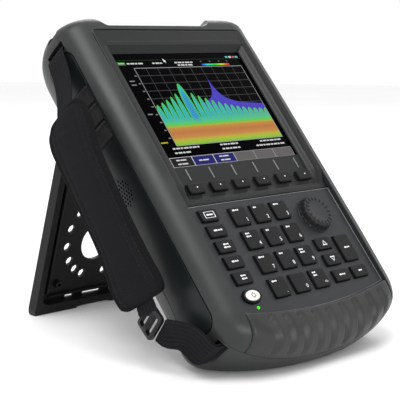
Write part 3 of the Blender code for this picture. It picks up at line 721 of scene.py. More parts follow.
@dataclass
class CaseShape:
    """The case's outer form at any height, from the front rim round to the rounded back."""

    width: float = 188.0
    height: float = 297.5
    rim: float = -4.0
    back: float = 68.0
    heel: float = 20.0
    heel_end: float = 33.0
    heel_low: float = 12.03
    back_start: float = 51.0
    lean: float = math.radians(40.0)
    front_corner: tuple[float, float] = (20.0, 16.0)
    nose: tuple[float, float, float] = (19.3335, 29.9, 23.3335)
    belly: tuple[float, float, float] = (6.567, 43.4, 2.6)
    squareness: float = 2.6

    @staticmethod
    def opened(share: Array) -> Array:
        """How far a quarter circle has opened at each share of its height."""
        return np.sqrt(np.clip(1 - (1 - share) ** 2, 0, 1))

    def half(self, w: Array) -> Array:
        """Half the width: an arched lower edge, and a quarter ellipse at the top corners."""
        lowest, rise, power = self.belly
        arch = np.sqrt(1 - np.clip(1 - (w - lowest) / rise, 0, 1) ** power)
        high = 14.0 * (1 - self.opened(np.clip((self.height - w) / 14.0, 0, 1)))
        return self.width / 2 * arch - high

    def bulge(self, w: Array) -> Array:
        """How far the round nose reaches from its axis; nothing above the axis matters."""
        _, axis, radius = self.nose
        return np.sqrt(np.clip(radius**2 - np.clip(axis - w, 0, radius) ** 2, 0, None))

    def front(self, w: Array) -> Array:
        """The front: the rim, with a round nose below and a quarter ellipse over the top edge."""
        crest = 22.0 * (1 - self.opened(np.clip((self.height - w) / 14.0, 0, 1)))
        return self.nose[0] - self.bulge(w) + crest

    def rear(self, w: Array) -> Array:
        """The back: nose, sloped heel, a parabola into the flat back, a quarter ellipse at the top."""
        slope = self.heel + w / math.tan(self.lean)
        corner = (self.back - self.heel) * math.tan(self.lean)
        start = self.heel + self.heel_end / math.tan(self.lean)
        bend, rise = self.heel_end - 2 * corner + self.back_start, corner - self.heel_end
        reach = np.clip(w - self.heel_end, 0, self.back_start - self.heel_end)
        t = (-rise + np.sqrt(rise * rise + bend * reach)) / bend
        curved = (1 - t) ** 2 * start + (1 - (1 - t) ** 2) * self.back
        crest = 28.0 * (1 - self.opened(np.clip((self.height - w) / 27.0, 0, 1)))
        upper = np.where(w <= self.heel_end, slope, np.where(w < self.back_start, curved, self.back - crest))
        return np.where(w < self.heel_low, self.nose[0] + self.bulge(w), upper)

    def corner(self, w: Array, depth: Array) -> tuple[Array, Array]:
        """The front corner's width and depth: it widens toward the case's two ends."""
        ends = np.clip((np.abs(w - self.height / 2) - 60) / 70, 0, 1)
        wide = np.minimum(self.front_corner[0] + 4 * ends, 0.9 * self.half(w))
        return wide, np.minimum(self.front_corner[1] + ends, 0.4 * depth)

    def face(self, x: Array, w: Array) -> Array:
        """v of the front surface at (x, w), carried on steeply past the outline."""
        half, front = self.half(w), self.front(w)
        wide, deep = self.corner(w, self.rear(w) - front)
        share = (np.abs(x) - half + wide) / wide
        return front + deep * (1 - np.sqrt(1 - np.clip(share, 0, 1) ** 2)) + 40 * np.clip(share - 1, 0, None)

    def rings(self, levels: Array, wall: float = 0.0, side_wall: float = 0.0, deepest: float = 99.0) -> Array:
        """The outline at each level, as (level, point, axis).

        The front corners are quarter ellipses. Each flank and rear corner are one superellipse,
        |x/a|^p + |v/b|^p = 1, so the side starts to turn in well before the corner.
        """
        w = np.asarray(levels, float)[:, None]
        half = self.half(w) - side_wall
        front, rear = self.front(w) + wall, np.minimum(self.rear(w) - wall, deepest)
        depth = rear - front
        wide, deep = self.corner(w, depth)
        turn = np.radians(np.linspace(0, 90, 13))[None]
        nose = np.stack(
            [half - wide + wide * np.sin(turn), front + deep * (1 - np.cos(turn)), w + 0 * turn], -1,
        )
        share = np.clip((w - 20) / 60, 0, 1)
        reach, turn = np.minimum(20.0 + 16.0 * share, 0.9 * half), np.radians(np.linspace(3, 90, 30))[None]
        side = half - reach * (1 - np.cos(turn) ** (2 / self.squareness))
        flank = np.stack(
            [side, front + deep + (depth - deep) * np.sin(turn) ** (2 / self.squareness), w + 0 * turn],
            -1,
        )
        right = np.concatenate([nose, flank], axis=1)
        return np.concatenate([right, right[:, ::-1] * (-1, 1, 1)], axis=1)

    def levels(self, top: float | None = None) -> Array:
        """Heights for the rings: close together where the outline changes quickly."""
        low = 6.6 + 25 * (1 - np.cos(np.radians(np.linspace(3, 90, 18))))
        crest = self.height - 28 * (1 - np.sin(np.radians(np.linspace(0, 90, 18))))
        spans = (low, np.linspace(33, 80, 26), np.linspace(90, 262, 20), crest)
        rows = np.unique(np.round(np.concatenate(spans), 4))
        return rows if top is None else np.append(rows[(rows > 11) & (rows < top)], top)

    def body(self, name: str) -> bpy.types.Object:
        """The whole outer form as one closed skin."""
        return skin(name, self.rings(self.levels()), sharp=50)

    def hollow(self) -> bpy.types.Object:
        """The space inside the walls, for cutting."""
        return skin("hollow", self.rings(self.levels(258.0), 3.0, 5.0, 55.4))


@dataclass(frozen=True)
class PlateFoot:
    """The keypad plate's foot: an arc that sags between the plate's two lower corners."""

    half: float = 78.0
    corner: float = 43.5
    sag: float = 7.8

    def height(self, x: Array) -> Array:
        """The arc's height at x, on the circle through both corners and the lowest point."""
        radius = (self.half**2 + self.sag**2) / (2 * self.sag)
        return self.corner - self.sag + radius - np.sqrt(radius**2 - x**2)


PLATE_FOOT = PlateFoot()


@dataclass
class Casing:
    """The two housings, the ribbed bumper and the inlaid side panels."""

    shape: CaseShape
    aperture: float = PLATE_FOOT.half
    aperture_top: float = 279.0
    parting: float = 14.5
    gap: float = 0.3
    lip: float = 285.0
    pocket_floor: float = 58.4
    panel_depth: tuple[float, float] = (9.8, 44.0)
    panel_height: tuple[float, float] = (44.0, 273.4)
    sink: float = 2.8
    groove: float = 0.9
    flutes: tuple[float, ...] = (-60, -46, -32, -17.5, -3, 12.4, 27.4, 44.6, 60)
    flute_depth: float = 3.4
    flute_sides: tuple[float, float] = (1.5, 7.5)
    brim_depth: float = 1.6
    brim_width: float = 1.8

    def build(self) -> None:
        """Makes every casing piece."""
        self.make_front()
        self.make_rear()
        self.make_bumper()
        self.make_panels()
        self.make_screws()
        self.make_pocket_details()

    def panel_cutter(self, side: int, ease: float) -> bpy.types.Object:
        """The block that a side panel fills; with an ease, the recess round it."""
        (front, back), (low, high) = self.panel_depth, self.panel_height
        half = ((back - front) / 2 + ease, (high - low) / 2 + ease)
        inner = self.shape.width / 2 - self.sink + (self.gap if ease <= 0 else 0.0)
        facing = Facing.RIGHT if side > 0 else Facing.LEFT
        centre = (side * inner, (front + back) / 2, (low + high) / 2)
        return prism("panel_cutter", rounded_loop(half, 9.0 + ease, 10), centre, 16.0, facing)

    def dip(self) -> bpy.types.Object:
        """What is cut away between the raised top corners: its flanks are S-curves, half a cosine wave."""
        share = np.linspace(0, 1, 13)
        rise = self.lip + (1 - np.cos(np.pi * share)) / 2 * (self.shape.height + 1 - self.lip)
        left, right = -58.5 - 19.0 * share, 37.5 + 26.0 * share
        profile = np.concatenate([np.stack([left[::-1], rise[::-1]], -1), np.stack([right, rise], -1)])
        steps = np.array(((-24.0, 22.0), (-4.5, 3.4), (-3.2, 1.9), (-1.0, 0.7), (2.0, 0.0), (90.0, 0.0)))
        rings = np.empty((len(steps), len(profile), 3))
        rings[..., 0], rings[..., 1] = profile[:, 0], steps[:, :1]
        rings[..., 2] = profile[:, 1] - steps[:, 1:] * (profile[:, 1] < self.shape.height + 0.9)
        return skin("dip", rings)

    def shared_cuts(self) -> list:
        """The cuts that both housings take."""
        slots = [
            block((-100, a, c), (-84, b, d))
            for a, b, c, d in ((12.6, 34.4, 274.8, 281.8), (16.4, 43.2, 28.8, 36.4))
        ]
        bay = block((-60, 18, 262), (60, 50, 330))
        cutters = [self.shape.hollow(), bay, self.dip(), *slots]
        cutters += [self.panel_cutter(side, self.groove - self.gap) for side in (-1, 1)]
        return [("DIFFERENCE", cutter) for cutter in cutters]

    def make_front(self) -> None:
        """The front housing: the case forward of the parting plane, open round the display and keypad."""
        half_height = (self.aperture_top + 60) / 2
        outline = rounded_loop((self.aperture, half_height), 4.0)
        opening = prism("opening", outline, (0, 6.0, self.aperture_top - half_height), 40.0)
        nose = block((-self.aperture, -40, -30), (self.aperture, self.parting + 2, PLATE_FOOT.corner))
        shell = self.shape.body("front_shell")
        keep = block((-120, -40, -20), (120, self.parting, 330))
        cuts = [("DIFFERENCE", opening), ("DIFFERENCE", nose), ("INTERSECT", keep)]
        carve(shell, self.shared_cuts() + cuts)
        keep_flats_flat(shell)
        add_piece(shell, Finish.HOUSING, replaces=["front_housing"])

    def make_rear(self) -> None:
        """The rear housing: the rest of the case, with the stand's pocket and the battery's mouth."""
        low, high = STAND_SIZE.pocket_span
        pocket = prism(
            "pocket", rounded_loop((63.2, (high - low) / 2), 5.0),
            (0, self.pocket_floor, (low + high) / 2), 40.0, Facing.BACK,
        )
        bore = turned("bore", (-68.4, HINGE[1], HINGE[2]), [(2.12, 0), (2.12, 136.8)], Facing.RIGHT, count=24)
        mouth = block((60, 15.8, 51.4), (91.5, 38.4, 132.6))
        notches = [block((x - 8, 15.6, 289), (x + 8, 28.5, 330)) for x in (-92, 92)]
        shell = self.shape.body("rear_shell")
        keep = block((-120, self.parting + self.gap, -20), (120, 120, 330))
        cuts = [("DIFFERENCE", cutter) for cutter in (pocket, bore, mouth, *notches)]
        carve(shell, self.shared_cuts() + cuts + [("INTERSECT", keep)])
        keep_flats_flat(shell)
        add_piece(shell, Finish.HOUSING, replaces=["rear_housing"])

    def make_bumper(self) -> None:
        """The rubber bumper: the nose's surface as v(x, w), pressed in by a row of flutes.

        Each column of the grid runs from the plate's curved edge down to where the surface meets the
        parting plane, found by halving. A flute is a squared cosine across x, steep on its left and
        long on its right, that fades in at its top. The brim is pressed in along the top and the ends.
        """
        end = self.aperture - 1.0
        x = np.linspace(-end, end, 401)[None]
        low, high = np.full_like(x, 6.6), np.full_like(x, 36.0)
        for _ in range(30):
            middle = (low + high) / 2
            behind = self.shape.face(x, middle) > self.parting - 0.4
            low, high = np.where(behind, middle, low), np.where(behind, high, middle)
        top = PLATE_FOOT.height(x) - 0.35
        turn = np.radians(np.linspace(0, 90, 60))[:, None]
        w = high + (top - high) * (1 - np.sin(turn))
        v = self.shape.face(x, w)
        offset = x[..., None] - np.array(self.flutes)
        steep, long = self.flute_sides
        reach = np.clip(np.where(offset < 0, -offset / steep, offset / long), 0, 1)
        across = (np.cos(reach * np.pi / 2) ** 2).max(axis=-1)
        fade = np.clip((top - 2.6 - w) / 4.0, 0, 1) ** 0.5 * np.clip((w - high) / 2.0, 0, 1)
        brim = (
            np.clip(1 - (top - w) / self.brim_width, 0, 1) ** 2
            + np.clip(1 - (end - np.abs(x)) / self.brim_width, 0, 1) ** 2
        )
        v = v + self.flute_depth * across * fade + self.brim_depth * brim
        v = np.minimum(v, self.parting - 0.4)
        outer = np.stack(np.broadcast_arrays(x, v, w), axis=-1)
        inner = outer * (1, 0, 1) + (0, self.parting - 0.1, 0)
        loops = np.concatenate([outer, inner[:, ::-1]], axis=1)
        bumper = skin("ribbed_bumper", loops, sharp=50)
        add_piece(bumper, Finish.BUMPER, replaces=["bottom_bumper"])

    def speaker_holes(self) -> bpy.types.Object:
        """A round patch of small bores, on a triangular grid, joined into one cutter."""
        rows, cols = np.mgrid[-6:7, -6:7]
        spots = np.stack([(cols + rows % 2 / 2) * 2.9, rows * 2.5], axis=-1).reshape(-1, 2)
        spots = spots[np.hypot(spots[:, 0], spots[:, 1] * 0.76) < 8.0]
        return joined(
            "holes",
            [
                turned("hole", (-94.6, 28.0 + a, 160.0 + b), [(0.9, -3.4), (0.9, 3.0)], Facing.LEFT, count=12)
                for a, b in spots
            ],
        )

    @staticmethod
    def clearance(side: int, low: Array, high: Array) -> bpy.types.Object:
        """The block that clears one door or cover out of a side panel, with an even gap round it."""
        ease, (near, far) = 0.4, (-110, -80) if side < 0 else (80, 110)
        return block((near, low[1] - ease, low[2] - ease), (far, high[1] + ease, high[2] + ease))

    def make_panels(self) -> None:
        """The inlaid side panels, cleared for the doors and the speaker, or for the battery and vents."""
        for side, name in ((-1, "left_side_panel"), (1, "right_side_panel")):
            panel = self.shape.body(name.replace("side_panel", "inlay"))
            steps = [("INTERSECT", self.panel_cutter(side, -0.25))]
            if side < 0:
                cutters = [self.clearance(side, *CASE.box(door)) for door in DOORS]
                cutters.append(self.speaker_holes())
            else:
                cutters = [self.clearance(side, *CASE.box("battery_cover"))]
                cutters += [
                    prism("vent", rounded_loop((9.0, 1.3), 1.2), (92.2, 26.0, w), 5.0, Facing.RIGHT)
                    for w in np.arange(156.0, 258.0, 7.2)
                ]
            carve(panel, steps + [("DIFFERENCE", cutter) for cutter in cutters])
            keep_flats_flat(panel)
            add_piece(panel, Finish.INLAY, replaces=[name])
        self.make_doors()
        self.make_battery_lid()

    def make_battery_lid(self) -> None:
        """The battery cover: a rounded lid with a thumb scoop and a row of grip grooves."""
        low, high = CASE.box("battery_cover")
        middle, half = (low + high) / 2, (high - low) / 2
        seat = 93.2
        profile = rounded_rim(high[0] - seat, 1.4, 0.5)
        cover = pillow("battery_lid", (seat, middle[1], middle[2]), half[1:], 2.0, profile, Facing.RIGHT)
        thumb = prism(
            "thumb", rounded_loop((4.0, 8.0), 3.5), (high[0] - 1.0, 27.0, low[2] + 68.0), 5.0,
            Facing.RIGHT,
        )
        ribs = [
            prism("rib", rounded_loop((9.5, 0.5), 0.4), (high[0] - 0.4, middle[1], w), 3.0, Facing.RIGHT)
            for w in np.arange(low[2] + 8, low[2] + 34, 3.2)
        ]
        carve(cover, [("DIFFERENCE", cutter) for cutter in (thumb, *ribs)])
        add_piece(cover, Finish.INLAY, "battery_cover", ["battery_cover"])

    def make_doors(self) -> None:
        """Three rubber port doors: each has a raised frame, a sunk middle with a mark, and a finger scoop."""
        for name in DOORS:
            low, high = CASE.box(name)
            middle, half = (low + high) / 2, (high - low) / 2 - 0.1
            seat, height = low[0] + 1.1, 1.0
            centre = (seat, middle[1], middle[2])
            profile = np.array((
                (0, -1.0), (0, height - 0.4), (0.12, height - 0.12), (0.4, height), (1.9, height),
                (2.5, height - 0.7), (4.0, height - 0.7),
            ))
            door = pillow(f"{name}_flap", centre, half[1:], 1.2, profile, Facing.LEFT)
            scoop = prism(
                "scoop", rounded_loop((1.5, half[2] - 2.2), 1.2),
                (low[0] + 0.95, low[1] + 1.2, middle[2]), 4.0, Facing.LEFT,
            )
            carve(door, [("DIFFERENCE", scoop)])
            add_piece(door, Finish.DOOR, name, [name])
            face = seat - height + 0.7
            marks = [
                bar((face, middle[1] + 2.0, middle[2] + lift), (reach, 0.7), Facing.LEFT, 0.25)
                for lift, reach in ((2.4, 7.0), (0.2, 4.5), (-2.2, 7.0))
            ]
            marks.append(bar((face, middle[1] - 3.5, middle[2]), (0.7, 6.0), Facing.LEFT, 0.25))
            add_piece(joined(f"{name}_ribs", marks), Finish.DOOR, name)

    def make_screws(self) -> None:
        """Four socket screws on the back, each head set partly into the surface."""
        spots = [(side * 44.0, w) for side in (-1, 1) for w in (58.0, 72.0)]
        heads = []
        for x, w in spots:
            profile = np.array(
                ((3.1, -1.0), (3.1, 0.15), (2.8, 0.45), (1.5, 0.5), (1.45, -0.6), (0.01, -0.7))
            )
            heads.append(turned("screw", (x, 68.0, w), profile, Facing.BACK, count=36))
        add_piece(joined("back_screws", heads), Finish.STEEL)

    def make_pocket_details(self) -> None:
        """On the pocket's floor: a blank rating plate with its marks, and stiffening ribs."""
        floor, height, thick = self.pocket_floor, 150.0, 0.35
        plate = pillow(
            "rating_plate", (0, floor, height), (38.0, 21.0), 2.5, rounded_rim(thick, 0.2, 0.15), Facing.BACK,
        )
        add_piece(plate, Finish.LABEL)
        lines = [
            bar((x, floor + thick, height + w), (reach, 1.0), Facing.BACK, 0.05)
            for x, w, reach in (
                (-14, 14, 36), (-18, 8, 28), (-16, 2, 32), (-20, -4, 24), (-14, -10, 36), (22, 6, 20),
            )
        ]
        add_piece(joined("rating_plate_marks", lines), Finish.DARK_INK)
        ribs = [
            pillow("rib", (x, floor, w), half, 0.7, rounded_rim(1.0, 0.2, 0.4), Facing.BACK)
            for x, w, half in (
                (-54, 172, (0.8, 74)), (54, 172, (0.8, 74)), (0, 232, (53, 0.8)), (0, 112, (53, 0.8)),
            )
        ]
        add_piece(joined("pocket_ribs", ribs), Finish.HOUSING)


DOORS = ("usb_door", "card_door", "lan_door")


# ---------------------------------------------------------------- the front panel


@dataclass
class FrontPanel:
    """The display bezel, the keypad plate's keys and legends, the power button and the knob."""

    sill: float = -0.7
    deck: float = 0.6
    rim: float = -3.6
    window: tuple[float, float, float, float] = (-66.6, 66.6, 159.9, 259.7)
    foot_height: float = 143.0
    foot_fall: float = 12.0
    wall: float = 2.4
    number_size: float = 4.3
    line_pitch: float = 2.3
    gasket_low: tuple[float, float, float] = (-77.0, 2.4, 124.5)
    gasket_high: tuple[float, float, float] = (77.0, 4.4, 130.0)
    knob_steps: int = 192
    knob_flutes: int = 20
    knob_marks: int = 18

    def build(self) -> None:
        """Makes every piece of the front panel."""
        self.make_bezel()
        for name in sorted(frame["nodes"]):
            if name.startswith(("key_", "softkey_")) and name != "key_power":
                self.make_key(name)
        self.make_power()
        self.make_knob()
        self.make_trims()
        self.make_gasket()
        self.make_painted_highlight_line()
        dress(frame["nodes"]["keypad_plate"], Finish.PLATE)

    def make_bezel(self) -> None:
        """The bezel as a height field v(x, w): a flat rim that ramps down to the display deck.

        The grid's lines run along the edges of the window and the softkey holes, whose cells are left
        out, and each ramp is a smooth step across its own width. The rim sinks to the sill at its foot.
        """

        def share(value: Array, span: tuple[float, float]) -> Array:
            """How far a value is across a span, held between 0 and 1."""
            return np.clip((value - span[0]) / (span[1] - span[0]), 0, 1)

        low, high = CASE.box("display_bezel")
        keys = [CASE.box(f"softkey_{i}") for i in range(1, 7)]
        holes = [self.window] + [(a[0] - 0.35, b[0] + 0.35, a[2] - 0.35, b[2] + 0.35) for a, b in keys]
        ramps = {
            "left": (-72.4, -67.0), "right": (66.9, 71.6), "top": (260.2, 264.8), "bottom": (130.6, 134.4),
        }
        fine = [np.linspace(a, b, 7) for a, b in ramps.values()]
        x = np.unique(np.round(np.concatenate([
            [low[0] + 0.1, low[0] + 0.45, high[0] - 0.45, high[0] - 0.1], fine[0], fine[1],
            np.linspace(-66, 66, 45), *[hole[:2] for hole in holes]]), 3))
        w = np.unique(np.round(np.concatenate([
            [low[2] + 0.1, low[2] + 0.45, high[2] - 0.45, high[2] - 0.1], fine[2], fine[3],
            np.linspace(136, 256, 36), *[hole[2:] for hole in holes]]), 3))
        across, up = np.meshgrid(x, w)
        side = np.minimum(share(across, ramps["left"]), 1 - share(across, ramps["right"]))
        side = side * side * (3 - 2 * side)
        end = np.minimum(1 - share(up, ramps["top"]), share(up, ramps["bottom"]))
        lowered = np.clip((self.foot_height - up) / self.foot_fall, 0, 1)
        crest = self.rim + (self.sill - self.rim) * lowered * lowered * (3 - 2 * lowered)
        depth = crest + (self.deck - crest) * np.minimum(side, end)
        edge = np.minimum.reduce([across - x[0], x[-1] - across, up - w[0], w[-1] - up])
        depth += 0.35 * np.clip(1 - edge / 0.34, 0, 1)
        quads = grid_quads(len(w), len(x))
        middle = np.stack([across, up], -1).reshape(-1, 2)[quads].mean(axis=1)
        inside = [
            (middle[:, 0] > a) & (middle[:, 0] < b) & (middle[:, 1] > c) & (middle[:, 1] < d)
            for a, b, c, d in holes
        ]
        quads = quads[~np.logical_or.reduce(inside)]
        bezel = build_mesh("bezel_frame", np.stack([across, depth, up], -1), quads.tolist())
        finish_mesh(bezel, 28, outward=False)
        wall = bezel.modifiers.new("wall", "SOLIDIFY")
        wall.thickness, wall.offset = self.wall * MM, -1.0
        bake_modifiers(bezel)
        finish_mesh(bezel, 28)
        add_piece(bezel, Finish.BEZEL, replaces=["display_bezel"])

    def make_key(self, name: str) -> None:
        """A rubber key: a cap with a rounded edge and a flat top, and its legend on its face."""
        low, high = CASE.box(name)
        middle, half = (low + high) / 2, (high - low) / 2
        proud = middle[1] - low[1]
        profile = rounded_rim(proud, proud, 0.75, 0.0, min(half[0], half[2]) - 1.6)
        profile[:1] = ((-0.12, -proud),)
        cap = pillow(f"{name}_cap", tuple(middle), (half[0], half[2]), 1.7, profile)
        add_piece(cap, Finish.KEY, name, [name])
        prints = self.legend(name, (middle[0], low[1] + 0.02, middle[2]), half)
        if prints:
            add_piece(joined(f"{name}_legend", prints), Finish.LEGEND, name)

    def legend(self, name: str, centre: Sequence[float], half: Array) -> list:
        """What is printed on a key: a number, an arrow or a dot, and short bars where words would be."""
        x, v, w = centre
        label = name.split("_")[1]
        if name.startswith("softkey"):
            return [
                turned(
                    "print", (x + 0.6, v, w + 0.4), [(0.55, -0.02), (0.55, 0.06), (0.01, 0.06)],
                    Facing.FRONT, count=16,
                )
            ]
        digits = {"decimal": ".", "sign": "+/-"}
        words = {
            "1": (6.0,), "2": (3.0,), "3": (5.0,), "4": (4.0, 4.6), "5": (3.0,), "6": (4.0,), "7": (5.6,),
            "8": (3.8,), "9": (4.2, 4.8), "decimal": (4.8,), "0": (), "sign": (3.4, 3.8),
            "frequency": (8.0,), "scale": (5.0, 6.0), "marker": (6.2,), "tools": (4.6, 4.8),
            "back": (6.4,), "escape": (3.6,), "enter": (5.6,),
        }
        prints = []
        if label in ("up", "down"):
            way = 1 if label == "up" else -1
            outline = np.array(((-2.6, -1.9 * way), (2.6, -1.9 * way), (0.0, 2.2 * way)))[::way]
            return [self.outlined(outline, centre, 0.62)]
        if label == "mode":
            frame_loop = rounded_loop((5.0, 2.5), 0.6, 3)
            return [self.outlined(frame_loop, centre, 0.88), bar((x, v, w), (6.2, 1.1))]
        small = label not in digits and not label.isdigit()
        if not small:
            text = digits.get(label, label)
            size = self.number_size if label != "sign" else 3.2
            prints.append(engraved(text, size, (x + half[0] - 3.4, v, w - half[2] + 3.4)))
        rows = words.get(label, ())
        for i, reach in enumerate(rows):
            at_x = x if small else x - half[0] + 2.0 + reach / 2
            middle_up = (0.5 * (len(rows) - 1) - i) * self.line_pitch
            at_w = w + middle_up if small else w + half[2] - 2.6 - self.line_pitch * i
            for k, (start, end) in enumerate(((0.0, 0.42), (0.5, 0.72), (0.8, 1.0))):
                place = (at_x + reach * ((start + end) / 2 - 0.5), v, at_w)
                prints.append(bar(place, (reach * (end - start), 1.25 - 0.2 * (k % 2))))
        return prints

    def outlined(self, outline: Array, centre: Sequence[float], inner: float) -> bpy.types.Object:
        """A printed outline: a flat ring between a shape and the same shape made smaller."""
        loops = np.stack([outline, outline * inner])
        rings = Facing.FRONT.lay(centre, np.stack([loops[0], loops[0], loops[1], loops[1], loops[0]]),
                                 np.array([0, 0.06, 0.06, 0, 0.0])[:, None])
        rows, cols = rings.shape[:2]
        return finish_mesh(build_mesh("print", rings, grid_quads(rows, cols, wrap=True).tolist()))

    def make_power(self) -> None:
        """The power button: a dark oval collar, a pale domed cap and its symbol."""
        low, high = CASE.box("key_power")
        middle, half = (low + high) / 2, (high - low) / 2
        stretch = np.array((1.0, half[2] / half[0]))

        def oval(name: str, rows: Sequence[tuple[float, float]]) -> bpy.types.Object:
            """Elliptical rings of (radius, height), with height measured out from the plate."""
            loop = round_loop(1.0, 56) * stretch
            loops = np.array([loop * radius for radius, _ in rows])
            heights = np.array([[height] for _, height in rows])
            return skin(name, Facing.FRONT.lay((middle[0], 0.0, middle[2]), loops, heights))

        wide = half[0] - 0.1
        collar = (
            (wide, -4.8), (wide, 1.7), (wide - 0.3, 2.2), (wide - 0.9, 2.45), (wide - 1.7, 2.2),
            (wide - 1.9, 0.6),
        )
        add_piece(oval("power_collar", collar), Finish.KEY, "key_power", ["key_power"])
        cap = (
            (wide - 2.0, 0.7), (wide - 2.0, 2.1), (wide - 2.4, 2.5), (wide - 3.4, 2.75), (3.0, 2.9),
            (0.6, 2.95),
        )
        add_piece(oval("power_cap", cap), Finish.CAP, "key_power")
        turn = np.radians(np.linspace(-235, 55, 40))
        arc = np.stack([np.cos(turn), np.sin(turn)], -1) * 1.75
        ring = np.concatenate([arc, arc[::-1] * 0.74])
        place = (middle[0], -2.93, middle[2] - 0.1)
        mark = [prism("print", ring, place, 0.06), bar((place[0], place[1], place[2] + 1.5), (0.5, 2.1))]
        add_piece(joined("power_symbol", mark), Finish.DARK_INK, "key_power")
        lamp_low, lamp_high = CASE.box("power_led")
        spot = (lamp_low + lamp_high) / 2
        lamp = turned(
            "lamp_lens", (spot[0], 0, spot[2]), ((1.1, -2.0), (1.1, 0.1), (0.8, 0.35), (0.01, 0.5)),
            Facing.FRONT, count=24,
        )
        tint(lamp, shade(70, 235, 20))
        add_piece(lamp, Finish.LAMP, replaces=["power_led"])

    def make_knob(self) -> None:
        """The tuning knob: a fluted skirt, a raised lip and a dished face with a finger dimple."""
        low, high = CASE.box("tuning_knob")
        middle, radius = (low + high) / 2, (high[0] - low[0]) / 2
        proud = -low[1]
        profile = np.array((
            (3.3, 0.4), (radius - 0.4, 0.4), (radius, 0.9), (radius, 1.6), (radius - 0.3, 2.4),
            (radius - 0.7, 4.0), (radius - 1.1, proud - 1.6), (radius - 1.6, proud - 0.6),
            (radius - 2.4, proud - 0.1), (radius - 3.2, proud), (radius - 3.8, proud - 0.25),
            (radius - 4.4, proud - 0.7), (radius - 6.5, proud - 1.05), (4.0, proud - 1.25),
            (0.02, proud - 1.3),
        ))
        fine = smooth_path(profile, 44)
        turn = np.linspace(0, 2 * np.pi, self.knob_steps, endpoint=False)[None]
        notch = np.clip(np.cos(turn * self.knob_flutes) * 1.6 - 0.5, 0, 1)
        ridge = np.clip((fine[:, 1:] - 1.2) / 1.2, 0, 1) * np.clip((fine[:, :1] - (radius - 3.6)) / 1.4, 0, 1)
        knob = turned(
            "fluted_knob", (middle[0], 0, middle[2]), fine, Facing.FRONT, count=self.knob_steps,
            waist=1 - 0.045 * notch * ridge, sharp=45,
        )
        add_piece(knob, Finish.KNOB, "knob", ["tuning_knob"])
        dish = np.array((
            (0.02, -2.0), (radius - 3.0, -2.0), (radius - 3.0, 0.1), (radius - 3.4, 0.1),
            (radius - 7, -0.6), (4, -0.95), (0.02, -1.0),
        ))
        face = turned("knob_dish", (middle[0], 0, middle[2]), dish + (0, proud), Facing.FRONT, count=96)
        add_piece(face, Finish.PLATE, "knob")
        marks = []
        for angle in np.linspace(0, 2 * np.pi, self.knob_marks, endpoint=False):
            turned_by = np.array(((np.cos(angle), np.sin(angle)), (-np.sin(angle), np.cos(angle))))
            outline = (rounded_loop((0.5, 1.3), 0.3, 3) + (0, radius - 3.9)) @ turned_by
            marks.append(prism("mark", outline, (middle[0], 0.6 - proud, middle[2]), 0.85))
        add_piece(joined("knob_marks", marks), Finish.KEY, "knob")

    def make_painted_highlight_line(self) -> None:
        """A fine raised line along the plate's curved foot, up its right side and across its top, coloured
        pale as a painted highlight where the edge catches the light.
        """
        top = float(CASE.box("keypad_plate")[1][2]) - 0.4
        end = 76.8
        x = np.linspace(-end, end, 90)
        foot = np.stack([x, PLATE_FOOT.height(x) + 0.55], -1)
        flank = [(end, w) for w in np.linspace(46, top - 0.8, 12)]
        head = [(across, top) for across in np.linspace(76, -end, 20)]
        path = np.concatenate([foot, flank, head])
        run = unit(np.gradient(path, axis=0))
        side = np.stack([-run[:, 1], run[:, 0]], -1)
        corners = ((-0.32, 0.4), (-0.32, -0.25), (-0.18, -0.4), (0.18, -0.4), (0.32, -0.25), (0.32, 0.4))
        flat = [path + side * across for across, _ in corners]
        rings = np.stack([np.insert(row, 1, depth, axis=1) for row, (_, depth) in zip(flat, corners)], axis=1)
        # Pale finish: a painted highlight for the light caught along the plate's edge.
        add_piece(skin("plate_painted_highlight_line", rings), Finish.PRINT_AND_PAINTED_HIGHLIGHT)

    def make_gasket(self) -> None:
        """A dark strip that closes the joint between the bezel and the keypad plate."""
        strip = block(self.gasket_low, self.gasket_high, name="deck_gasket")
        add_piece(strip, Finish.KEY)

    def make_trims(self) -> None:
        """Printed lines: a tick over each softkey and two fine rules on the blank name strip."""
        low, high = CASE.box("display_bezel")
        ticks = [
            pillow(
                "tick", (CASE.box(f"softkey_{i}")[0][0] + 8.3, self.deck, 152.9), (0.62, 4.6), 0.3,
                rounded_rim(0.5, 0.1, 0.25),
            )
            for i in range(1, 7)
        ]
        add_piece(joined("softkey_ticks", ticks), Finish.PRINT_AND_PAINTED_HIGHLIGHT)
        rules = [
            pillow("rule", (0, self.rim, w), (68.0, 0.3), 0.2, rounded_rim(0.12, 0.1, 0.08))
            for w in (277.2, 267.6)
        ]
        add_piece(joined("name_strip_rules", rules), Finish.PLATE)


# ---------------------------------------------------------------- the display's picture


